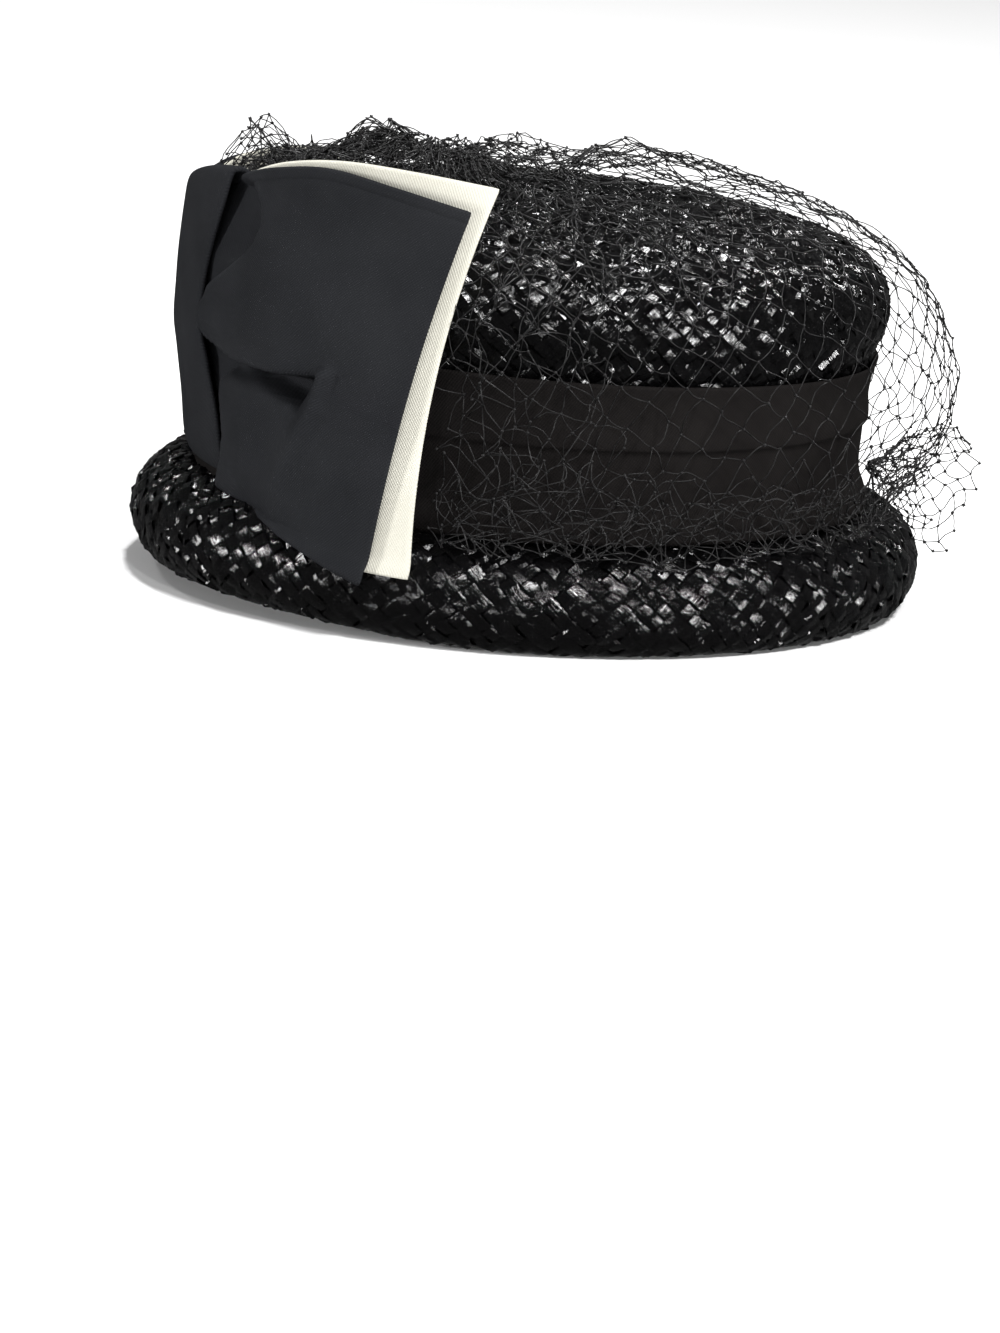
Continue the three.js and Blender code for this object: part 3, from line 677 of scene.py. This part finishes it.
def hatband():
    z = BAND_ROWS
    phi = np.linspace(0, 360, BAND_AROUND + 1)[None, :-1]
    depth = BAND_FOLD_DEPTH * smooth(np.minimum(phi, 360 - phi), *BAND_FOLD_SETS_IN)
    hangs = smooth(z, 57.0, 57.6) * (1 - smooth(z, 58, 66))
    tucked = BAND_TUCK * smooth(z, 50, 57) * (z < 57.1)
    r = look_up(BAND_SIDE, "z", "r", z) - BAND_IN + depth * (hangs - tucked)
    wrinkle = waves(oval_point(phi, 100, z * 3), 60, 21)[..., 0] * BAND_WRINKLE
    outer = oval_point(phi, r + wrinkle, z)
    on_crown = straight(CROWN_SIDE, np.maximum(z, CROWN_SIDE[0]["z"])) + GAP
    inner = oval_point(phi, np.minimum(on_crown, r - BAND_WALL), z)[::BAND_INNER_STEP]
    points, faces = double_wall(leaned(outer), leaned(inner))
    around = np.radians(phi) * 100 * ROUND
    uv = np.concatenate([stacked(around, side).reshape(-1, 2) for side in (z, z[::BAND_INNER_STEP])])
    piece = make_piece("hatband_ribbon", points, faces, RIBBON, "hatband", uv)


hatband()


# -------- bow
BRIM_OVER = BRIM_SIDE[5:]  # from the brim's widest place over to its collar
CROWN_WIDEST = CROWN_SIDE[8]
SHOULDER_Z, SHOULDER_SLOPE = 96, 0.3  # above this height the bow may come in over the crown


def backing(z):
    """Radius of what stands behind the bow at a height: brim, band or crown."""
    z = np.asarray(z, float)
    brim = np.maximum(straight(BRIM_OVER, z), BAND_SIDE[0]["r"])
    crown = np.maximum(straight(CROWN_SIDE, z), BAND_SIDE[-1]["r"])
    shoulder = CROWN_WIDEST["r"] - np.maximum(z - SHOULDER_Z, 0) * SHOULDER_SLOPE
    below = [z < BAND_SIDE[0]["z"], z < BAND_SIDE[-1]["z"], z < CROWN_WIDEST["z"]]
    return np.select(below, [brim, straight(BAND_SIDE, z), crown], shoulder)


def slant(phi):
    """How much of the slant has set in, 1 being well round to the wearer's right."""
    return smooth(-np.asarray(phi, float), SLANT_FROM, SLANT_FULL)


def from_level(phi, level):
    """The height of a place on the bow that has a given level."""
    return (level - slant(phi) * (SLANT_LOW - SLANT_RATE * SLANT_LOW_Z)) / (1 + slant(phi) * SLANT_RATE)


def blended_max(a, b, round_off):
    """The larger of two values, with the change between them rounded off."""
    return (a + b + np.hypot(a - b, round_off)) / 2


def strip_radius(phi, level):
    """Radius of the middle of the knot strip's wall."""
    r, edge, flare = (look_up(STRIP_FRONT, "z", name, level) for name in ("r", "edge", "flare"))
    return r - flare * (phi / edge) ** 2


def laid_flat(rows, phi, level):
    """A line's corners, and a place on the bow, in millimetres on a wing laid flat."""
    corner = np.array([(row["phi"] * MM_PER_DEGREE, row["level"]) for row in rows])
    return corner, stacked(phi * MM_PER_DEGREE, level)[..., None, :]


def from_line(line, phi, level):
    """Signed distance from a line on the bow, and the share of the way along it."""
    corner, point = laid_flat(line, phi, level)
    start, span = corner[:-1], np.diff(corner, axis=0)
    t = np.clip(((point - start) * span).sum(-1) / (span ** 2).sum(-1), 0, 1)
    gap = point - (start + span * t[..., None])
    size = np.linalg.norm(gap, axis=-1)
    cross = span[:, 0] * gap[..., 1] - span[:, 1] * gap[..., 0]
    nearest = size.argmin(axis=-1)
    pick = lambda values: np.take_along_axis(values, nearest[..., None], -1)[..., 0]
    size, cross, t = pick(size), pick(cross), pick(t)
    length = np.hypot(*span.T)
    before = np.r_[0, np.cumsum(length)]
    along = (before[nearest] + t * length[nearest]) / before[-1]
    return size * np.where(cross >= 0, 1, -1), along


def depth_within(corners, phi, level):
    """How far inside a convex patch of the bow a place lies."""
    corner, point = laid_flat(corners, phi, level)
    span = np.roll(corner, -1, axis=0) - corner
    gap = point - corner
    return ((span[:, 0] * gap[..., 1] - span[:, 1] * gap[..., 0]) / np.hypot(*span.T)).min(-1)


def fold_reach(fold, phi, level):
    """1 where a fold is full, fading to 0 beyond its angle and its levels."""
    row = next(row for row in FOLD_REACH if row["fold"] == fold)
    across = 1 - smooth(phi, row["fullPhi"], row["endPhi"])
    above = smooth(level, row["footLevel"], row["lowLevel"])
    return across * above * (1 - smooth(level, row["highLevel"], row["endLevel"]))


def folds(phi, level):
    """How far the black layer's folds stand out, and how far both layers sink beside them."""
    inside, _ = from_line(UPPER_LOBE, phi, level)
    low = 1 - smooth(level, 74, 90)
    edge = lerp(2.2, 0.8, low)
    pressed = DART_SHARE * smooth(phi, 37, 46) * low
    height = lerp(*UPPER_LOBE_HEIGHTS, 1 - smooth(level, 86, 114)) * (1 - pressed)
    upper = height * smooth(inside, -edge, edge) * fold_reach("upper", phi, level)
    hollow = (1 - smooth(inside, -3.5, 0.5)) * fold_reach("hollow", phi, level)
    inside, _ = from_line(LOWER_LOBE, phi, level)
    lower = LOWER_LOBE_HEIGHT * smooth(inside, -1, 2.6) * fold_reach("lower", phi, level)
    slot = (1 - smooth(inside, -3, 0.5)) * fold_reach("slot", phi, level)
    away, along = from_line(LOW_RIDGE, phi, level)
    ridge = lerp(*RIDGE_HEIGHTS, along) * np.exp(-(away / lerp(*RIDGE_WIDTHS, along)) ** 2)
    dart = smooth(depth_within(DART, phi, level), -0.7, 3.4)
    return upper + lower + ridge, HOLLOW_DEPTH * np.maximum(hollow, slot) + DART_DEPTH * dart


STRIP_HOLDS = 8, 13  # angles between which the wings come free of the strip and may fold
ROOF_EDGE = 18  # angle up to which the strip's roof over the layers is worked out
ROOF_END = 0.9, 8  # beyond the strip's edge, degrees between which the roof ends


def layer_radii(phi, level, z):
    """Radii of the two layers at a place on the bow, pressed in under the strip."""
    away = np.abs(phi)
    share = (level - WING_LOW) / (WING_HIGH - WING_LOW)
    stand = (look_up(WING_STAND, "phi", name, away) for name in ("lowR", "highR", "lowGap", "highGap"))
    low_r, high_r, low_gap, high_gap = stand
    over_brim = 1 - smooth(z, 28, 40)
    standing = backing(z) + GAP * (2.6 + 2 * over_brim) + CAD_IVORY_WALL / 2
    lift, sink = folds(away, level)
    share_out = np.where(phi < 0, FAR_FOLDS, 1.0) * smooth(away, *STRIP_HOLDS)
    ivory_free = blended_max(lerp(low_r, high_r, share) - sink * share_out, standing, 0.8)
    gap = lerp(low_gap, high_gap, np.clip(share, 0, 1)) * (1 - 0.5 * np.minimum(sink / HOLLOW_DEPTH, 1))
    least = (CAD_IVORY_WALL + CAD_BLACK_WALL) / 2 + GAP * (1.3 + smooth(away, 10, 18) + over_brim)
    black_free = ivory_free + blended_max(gap + lift * share_out, least, 0.3)
    roof = strip_radius(np.clip(phi, -ROOF_EDGE, ROOF_EDGE), level)
    roof = roof - (CAD_STRIP_WALL + CAD_BLACK_WALL) / 2 - 1.3 * GAP
    strip_level = np.clip(level, STRIP_FRONT[0]["z"], STRIP_FRONT[-1]["z"])
    strip_edge = look_up(STRIP_FRONT, "z", "edge", strip_level)
    opened = smooth(away, strip_edge + ROOF_END[0], strip_edge + ROOF_END[1]) * 30
    black = np.minimum(black_free, roof + opened)
    return np.minimum(ivory_free, black - least), black


def bow_layer(sections, layer, across, up, inset):
    """The middle of a layer's wall. inset curves the sides of its wings inwards."""
    u = np.linspace(0, 1, across)[None, :]
    v = np.r_[np.linspace(0, 0.94, up - 10), np.linspace(0.946, 1, 10)][:, None]
    part = np.abs(2 * u - 1)
    top_phi, top_z, low_phi, low_z = by_share(sections, part)
    curve = inset * 4 * v * (1 - v) * smooth(part, 0.4, 1)
    phi = np.sign(u - 0.5) * (lerp(low_phi, top_phi, v) - curve)
    level = lerp(low_z, top_z, v)
    z = from_level(phi, level)
    from_groove = (top_z - level - HEM_BELOW) / HEM_WIDTH
    hem = HEM_DEPTH * layer * np.exp(-from_groove ** 2) * smooth(part, 0.3, 0.4)
    return leaned(oval_point(phi, layer_radii(phi, level, z)[layer] - hem, z))


def bow_strip(across, up):
    """The middle of the knot strip's wall."""
    u = np.linspace(-1, 1, across)[None, :]
    r, z, edge, flare = by_share(STRIP_PATH, np.linspace(0, 1, up)[:, None])
    phi = u * edge
    return leaned(oval_point(phi, r - flare * u ** 2, from_level(phi, z)))


def add_cloth(name, middle, wall, material, node):
    points, faces, uv = cloth(middle, wall)
    piece = make_piece(name, points, faces, material, node, uv)


IVORY_LAYER, BLACK_LAYER = 0, 1
add_cloth(
    "bow_ivory_cloth", bow_layer(IVORY_SECTIONS, IVORY_LAYER, across=121, up=64, inset=3.0),
    IVORY_WALL, IVORY, "bow_ivory",
)
add_cloth(
    "bow_black_cloth", bow_layer(BLACK_SECTIONS, BLACK_LAYER, across=241, up=130, inset=1.5),
    BLACK_WALL, FAILLE, "bow_black",
)
add_cloth(
    "bow_knot_strip", bow_strip(across=21, up=70),
    STRIP_WALL, FAILLE, "bow_knot",
)


# -------- veil
THREAD_R = 0.19
THREAD_SIDES, THREAD_SEGMENTS = 3, 4
THREAD_SWAY, THREAD_TWIST = (0.04, 0.2), 0.03  # how far a thread strays from straight, over its length
KNOT_R = 0.6
KNOT_SWELL = 0.8, 1.35  # how uneven a knot's corners are, over its radius
KNOT_CORNERS = np.array([(1, 0, 0), (-1, 0, 0), (0, 1, 0), (0, -1, 0), (0, 0, 1), (0, 0, -1)])
KNOT_FACES = (0, 2, 4), (2, 1, 4), (1, 3, 4), (3, 0, 4), (2, 0, 5), (1, 2, 5), (3, 1, 5), (0, 3, 5)


def threads(knots, edges, bend, seed, curl=1.0):
    """Thin tubes along the net's edges, with a small knot at each crossing: points, faces."""
    random = np.random.default_rng(seed)
    count = len(edges)
    start, end = knots[edges[:, 0]], knots[edges[:, 1]]
    t = np.linspace(0, 1, THREAD_SEGMENTS + 1)[None, :, None]
    length = np.linalg.norm(end - start, axis=1)[:, None, None]

    def anywhere():
        return unit(random.normal(size=(count, 1, 3)))

    sway = anywhere() * length * random.uniform(*THREAD_SWAY, (count, 1, 1)) * curl
    twist = anywhere() * length * THREAD_TWIST * curl
    straight_line = lerp(start[:, None], end[:, None], t)
    line = bend(straight_line + sway * np.sin(np.pi * t) + twist * np.sin(2 * np.pi * t))
    along = unit(np.gradient(line, axis=1))
    aside = unit(np.cross(along, anywhere()))
    upward = np.cross(along, aside)
    turn = np.arange(THREAD_SIDES) * 2 * np.pi / THREAD_SIDES
    ring = aside[:, :, None] * np.cos(turn)[:, None] + upward[:, :, None] * np.sin(turn)[:, None]
    tube = line[:, :, None] + ring * THREAD_R
    block = (THREAD_SEGMENTS + 1) * THREAD_SIDES
    faces = repeated(grid_faces(THREAD_SEGMENTS + 1, THREAD_SIDES, closed=True), count, block)
    faces += repeated([(2, 1, 0), (block - 3, block - 2, block - 1)], count, block)
    used = np.unique(edges)
    swell = random.uniform(*KNOT_SWELL, (len(used), len(KNOT_CORNERS), 1)) * KNOT_R
    spun = np.linalg.qr(random.normal(size=(len(used), 3, 3)))[0]
    spun *= np.linalg.det(spun)[:, None, None]
    lumps = bend(knots[used][:, None])[:, :1] + swell * np.einsum("ij,njk->nik", KNOT_CORNERS, spun)
    faces += repeated(KNOT_FACES, len(used), len(KNOT_CORNERS), start=count * block)
    return np.concatenate([tube.reshape(-1, 3), lumps.reshape(-1, 3)]), faces


# The outside of the hat, from the brim up over the crown, which the net lies on.
SOLID_SIDE = BRIM_SIDE[3:9] + BAND_SIDE[1:] + [row for row in CROWN_SIDE if row["z"] > 80]
KNOT_CLEARANCE, THREAD_CLEARANCE = 0.7, 0.6
NET_REACH = 25  # a point that lies farther than this from the outside is left where it is


def kept_off(points, clearance=THREAD_CLEARANCE):
    """Moves points in or on the brim, band or crown out to a small clearance."""
    line = np.array([(row["r"], row["z"]) for row in SOLID_SIDE])
    a, b = line[:-1], line[1:]
    flat = points.reshape(-1, 3).copy()
    r = np.hypot(flat[:, 0] / OVAL, flat[:, 1])
    own = stacked(r, flat[:, 2] + LEAN * flat[:, 1] * smooth(flat[:, 2], LEAN_FROM, LEAN_FULL))
    span = b - a
    t = np.clip(((own[:, None] - a) * span).sum(-1) / (span ** 2).sum(-1), 0, 1)
    foot = a + span * t[..., None]
    gap = np.linalg.norm(own[:, None] - foot, axis=-1)
    nearest = gap.argmin(axis=1)
    row = np.arange(len(own))
    out = unit(stacked(span[:, 1], -span[:, 0]))[nearest]
    signed = ((own - foot[row, nearest]) * out).sum(-1)
    too_close = (signed < clearance) & (gap[row, nearest] < NET_REACH)
    moved_by = np.where(too_close, clearance - signed, 0)[:, None] * out
    scale = (r + moved_by[:, 0]) / np.maximum(r, 1e-6)
    flat[:, 0] *= scale
    flat[:, 1] *= scale
    flat[:, 2] += moved_by[:, 1]
    return flat.reshape(points.shape)


def veil_place(phi, part, lift):
    """A place on the veil from its angle, share of the way to the hem, and height off it."""
    away = np.abs((phi + 180) % 360 - 180)
    to_quarter, to_back = smooth(away, 88, 140), smooth(away, 132, 170)
    folded = np.where(part > 1, 2 - part, part)

    def mix(name, t):
        at = lambda line: look_up(VEIL_LINES, "part", line + name, np.clip(t, 0, 1))
        return lerp(lerp(at("side"), at("quarter"), to_quarter), at("back"), to_back)

    rate_r = mix("R", folded + 0.02) - mix("R", folded - 0.02)
    rate_z = mix("Z", folded + 0.02) - mix("Z", folded - 0.02)
    size = np.maximum(np.hypot(rate_r, rate_z), 1e-6)
    point = oval_point(phi, mix("R", folded) - rate_z / size * lift, mix("Z", folded) + rate_r / size * lift)
    for puff in VEIL_PUFFS:
        apart = (point[..., 0] - puff["x"]) ** 2 + (point[..., 1] - puff["y"]) ** 2
        point[..., 2] += puff["rise"] * np.exp(-apart / puff["spread"] ** 2) * smooth(point[..., 2], 90, 110)
    return leaned(point)


VEIL_HEART = np.array([0.0, -42.0])  # where the net's lines run together, on top behind the bow
VEIL_ROW = 6.0  # half the height of a cell
VEIL_NEAR, VEIL_ROWS = 9.0, 60  # radius of the first row round its heart, and the most rows
VEIL_UNDER_BOW = 62  # angle where its sides begin, under the ivory layer
VEIL_FRONT = 100  # how far it reaches between them, behind the bow
VEIL_TURN_UP = 0.2  # of its reach, turned up again along the hem
HEM_END, HEM_FADE = 172, 30  # angle where the turned-up hem ends at the tail, and over how much
HEART_SPREAD = 62  # how far round its heart it is crumpled
PLEAT, PLEAT_WIDTH, PLEAT_HEIGHT = 7.5, 1.5, 1.8  # beside the bow, the first in degrees
GATHER_END = 150  # angle where its second layer beside the bow and along the hem ends
RUFFLE_HEART, RUFFLE_REACH = -62, 44  # the middle and reach of its second layer on top


def veil_columns():
    """Directions of the net's lines: closer together where they have further to run."""
    angle = np.linspace(-180, 180, 1441)
    away = np.abs(angle)
    spacing = 6.4 - 0.8 * smooth(away, 60, 90) - 1.4 * smooth(away, 120, 165)
    count = np.r_[0, np.cumsum(0.25 / spacing[1:])]
    columns = 2 * int(round(count[-1]))
    return np.interp(np.arange(columns) / columns * count[-1], count, angle), columns


def net_edges(index, columns):
    """The threads from each knot to the next row's on either side of it."""
    edges = []
    for k, c in index:
        for below in ((k + 1, (c - 1) % columns), (k + 1, (c + 1) % columns)):
            if below in index:
                edges.append((index[k, c], index[below]))
    return np.array(edges)


def veil():
    """The net laid flat: each knot's angle and share of the way to the hem, and the threads."""
    angles, columns = veil_columns()
    index, spots = {}, []
    for k in range(VEIL_ROWS):
        for c in range(k % 2, columns, 2):
            a = math.radians(angles[c])
            x, y = VEIL_HEART + (VEIL_NEAR + k * VEIL_ROW) * np.array([math.sin(a), -math.cos(a)])
            drawn_in = y * VEIL_SHORT if y < 0 else y
            phi, far = math.degrees(math.atan2(x, -drawn_in)), math.hypot(x, drawn_in)
            turned_up = VEIL_TURN_UP * float(smooth(HEM_END - abs(phi), 0, HEM_FADE))
            limit = VEIL_FRONT if abs(phi) < VEIL_UNDER_BOW else VEIL_REACH * (1 + turned_up)
            held = k < 2 or c == 0 or (k - 1, c - 1) in index or (k - 1, (c + 1) % columns) in index
            if far <= limit and held:
                index[k, c] = len(spots)
                spots.append((phi, far / VEIL_REACH))
    return *np.array(spots).T, net_edges(index, columns)


def beside_bow(phi, part):
    return (1 - smooth(np.abs(phi), 72, 96)) * smooth(part, 0.5, 0.62)


def crumpled(phi, part, flat):
    """Where the knots come to lie: angle, share of the way to the hem, and height."""
    top = 1 - smooth(part, 0.42, 0.6)
    heart = np.exp(-(flat[:, 0] ** 2 + (flat[:, 1] - VEIL_HEART[1]) ** 2) / HEART_SPREAD ** 2)
    stir = waves(flat, 34, 31) * 1.3 + waves(flat, 15, 32) * (0.9 + 1.1 * heart[:, None])
    near_bow = beside_bow(phi, part)
    pleat = 2 * np.pi * np.abs(phi) / PLEAT + 5 * part
    pleated = np.sign(phi) * (PLEAT_WIDTH * np.sin(pleat) * near_bow)
    bunched = phi + pleated + stir[:, 0] * (0.7 + 1.2 * top) * (1 - 0.5 * near_bow)
    crowd = 0.012 * np.sin(2 * np.pi * part / 0.085 + phi / 9) * smooth(part, 0.72, 0.86)
    turned = smooth(part, 1.0, 1.12)
    puffed = np.abs(waves(flat, 22, 33)[:, 0]) * 1.2 * heart
    lift = 0.8 + 2.8 * turned + stir[:, 2] * (0.5 + 1.0 * top) + puffed
    lift = lift + PLEAT_HEIGHT * near_bow * (1 + np.cos(pleat))
    return bunched, part + crowd + stir[:, 1] * 0.006, lift


def net_piece(name, knots, edges, seed, curl=1.0):
    points, faces = threads(kept_off(knots, KNOT_CLEARANCE), edges, kept_off, seed, curl)
    make_piece(name, points, faces, THREAD, "veil")


def veil_gathers(phi, part, edges, bunched, lift, flat):
    """The net lies double beside the bow, above it and along the hem."""
    away = np.abs(phi)
    above_bow = (part > 0.3) & (part < 0.62) & (away < 108)
    doubled = (beside_bow(phi, part) > 0.35) | (part > 0.9) | above_bow
    kept = doubled[edges].all(axis=1) & (away[edges].max(axis=1) < GATHER_END)
    shift_phi, shift_part, shift_lift = (waves(flat, 11, 71) + waves(flat, 27, 72)).T
    second_phi = bunched + 2.6 + 2.0 * shift_phi
    second_part = part - 0.035 + 0.02 * shift_part
    second_lift = lift + 0.9 + 0.5 * shift_lift
    net_piece("veil_gathers", veil_place(second_phi, second_part, second_lift), edges[kept], 73, curl=2.0)


def veil_ruffle(edges, flat):
    """A second layer, gathered up on top behind the bow."""
    from_heart = np.hypot(flat[:, 0], flat[:, 1] - RUFFLE_HEART)
    kept = (from_heart < RUFFLE_REACH)[edges].all(axis=1)
    ruffled = flat + (0, 4, 0)
    ruffled[:, 2] += 2 + 5 * np.abs(waves(flat, 19, 61)[:, 0]) * (1 - (from_heart / RUFFLE_REACH) ** 2)
    net_piece("veil_ruffle", ruffled + waves(flat, 13, 62) * (2.2, 2.2, 1.2), edges[kept], 63)


def dressed_veil():
    phi, part, edges = veil()
    flat = veil_place(phi, part, 0.0)
    bunched, lowered, lift = crumpled(phi, part, flat)
    net_piece("veil_net", veil_place(bunched, lowered, lift), edges, 41)
    veil_gathers(phi, part, edges, bunched, lift, flat)
    veil_ruffle(edges, flat)


dressed_veil()

TAIL_ROOT = np.array([0.0, 105.4, 36.5])
TAIL_DROOP, TAIL_OPEN = 17, 60  # degrees that it hangs down, and that it stays open below
TAIL_LENGTH, TAIL_WIDTH = 31, 15.5
TAIL_ROWS, TAIL_AROUND = 12, 26


def veil_tail():
    """The gathered end of the net, which stands out behind the hat."""
    droop = math.radians(TAIL_DROOP)
    along = np.array([0, math.cos(droop), -math.sin(droop)])
    upward = np.array([0, math.sin(droop), math.cos(droop)])
    index = {}
    for k in range(TAIL_ROWS):
        for c in range(k % 2, TAIL_AROUND + 1, 2):
            index[k, c] = len(index)
    edges = net_edges(index, TAIL_AROUND + 2)  # the last column and the first aren't joined
    k, c = np.array(list(index), float).T
    s = k / (TAIL_ROWS - 1) * TAIL_LENGTH
    angle = np.radians(c / TAIL_AROUND * (360 - TAIL_OPEN) - 90 + TAIL_OPEN / 2)
    flare = 1.4 + TAIL_WIDTH * np.sin(np.pi / 2 * np.clip(s / TAIL_LENGTH * 1.15, 0, 1)) ** 1.1
    r = flare * (1 + 0.14 * np.sin(3 * angle + s / 7))
    s = s - (r / TAIL_WIDTH) ** 2 * 2.5
    knots = TAIL_ROOT + along * s[:, None] + upward * (r * np.sin(angle))[:, None]
    knots[:, 0] += r * np.cos(angle)
    knots += waves(knots, 16, 51) * smooth(s, 0, 14)[:, None] * 1.5
    points, faces = threads(knots, edges, lambda line: line, 52)
    make_piece("veil_tail", points, faces, THREAD, "veil")


veil_tail()

# -------- floor, light and camera
CAMERA_AZIMUTH, CAMERA_ELEVATION, CAMERA_ROLL = 76, 13, -4.5
CAMERA_DISTANCE = 1.598
SENSOR_WIDTH = 36
# In pixels of the photo: the focal length, and how far the middle of the hat's foot stands right of the
# image's middle and above it.
FOCUS, AIM_RIGHT, AIM_UP = 5322, 22, 91.5
IMAGE_HEIGHT = 1333
UP = Vector((0, 0, 1))


def direction(azimuth, elevation):
    """From the hat towards a place round it, azimuth 0 being in front."""
    a, e = math.radians(azimuth), math.radians(elevation)
    return Vector((math.sin(a) * math.cos(e), -math.cos(a) * math.cos(e), math.sin(e)))


def aimed(place, forward, up):
    """The matrix of a camera or lamp at a place, looking forward."""
    forward = forward.normalized()
    right = forward.cross(up).normalized()
    turned = Matrix((right, right.cross(forward), -forward)).transposed().to_4x4()
    turned.translation = place
    return turned


def camera():
    data = bpy.data.cameras.new("camera")
    data.sensor_width = SENSOR_WIDTH
    data.lens = SENSOR_WIDTH * FOCUS / IMAGE_HEIGHT
    data.clip_start, data.clip_end = 0.05, 60
    lens = linked("camera", data)
    back = direction(CAMERA_AZIMUTH, CAMERA_ELEVATION)
    level = (-back).cross(UP).normalized()
    upright = level.cross(-back)
    roll = math.radians(CAMERA_ROLL)
    right = math.cos(roll) * level - math.sin(roll) * upright
    up = math.sin(roll) * level + math.cos(roll) * upright
    forward = -back * FOCUS - right * AIM_RIGHT - up * AIM_UP
    lens.matrix_world = aimed(Vector((0, HAT_Y * MM, 0)) + back * CAMERA_DISTANCE, forward, up)
    bpy.context.scene.camera = lens


# Small bright lamps, which glint in the lacquer. Azimuths are counted from the camera's, in degrees.
LAMPS = table(
    "name azimuth elevation distance width height watts",
    ("softbox_key", 36, 52, 1.5, 0.26, 0.26, 30),
    ("softbox_left", -70, 6, 1.5, 0.16, 0.28, 21),
    ("softbox_right", 58, 4, 1.5, 0.16, 0.27, 18),
    ("softbox_top", 180, 75, 3.2, 0.36, 0.36, 105),
    ("spark_left", -130, 34, 1.3, 0.08, 0.08, 3),
    ("spark_right", 140, 38, 1.3, 0.08, 0.08, 3),
    ("spark_front", 8, 46, 1.3, 0.08, 0.08, 3),
    ("spark_low_left", -20, 3, 1.4, 0.07, 0.07, 2.4),
    ("spark_low_right", 24, 3, 1.4, 0.08, 0.08, 3),
)
LAMP_TARGET = Vector((0, 0, 0.07))
WORLD_STRENGTH = 0.12
FLOOR_REACH = 9.0


def lamp(row):
    data = bpy.data.lights.new(row["name"], "AREA")
    data.shape = "RECTANGLE"
    data.size, data.size_y = row["width"], row["height"]
    data.energy = row["watts"]
    light = linked(row["name"], data)
    place = LAMP_TARGET + direction(CAMERA_AZIMUTH + row["azimuth"], row["elevation"]) * row["distance"]
    light.matrix_world = aimed(place, LAMP_TARGET - place, UP)


def floor():
    mesh = bpy.data.meshes.new("floor")
    corners = [(x * FLOOR_REACH, y * FLOOR_REACH, 0) for x, y in ((-1, -1), (1, -1), (1, 1), (-1, 1))]
    mesh.from_pydata(corners, [], [(0, 1, 2, 3)])
    material, _ = new_material("pale_floor", (0.78, 0.78, 0.78), 0.6)
    mesh.materials.append(material)
    ground = linked("floor", mesh)
    ground.visible_glossy = False  # the lacquer mirrors the dark studio, not the floor


def surroundings():
    world = bpy.data.worlds.new("studio")
    world.use_nodes = True
    background = world.node_tree.nodes["Background"]
    background.inputs["Color"].default_value = (1, 1, 1, 1)
    background.inputs["Strength"].default_value = WORLD_STRENGTH
    bpy.context.scene.world = world
    bpy.context.scene.view_settings.view_transform = "Standard"


camera()
floor()
for row in LAMPS:
    lamp(row)
surroundings()

bpy.context.view_layer.update()
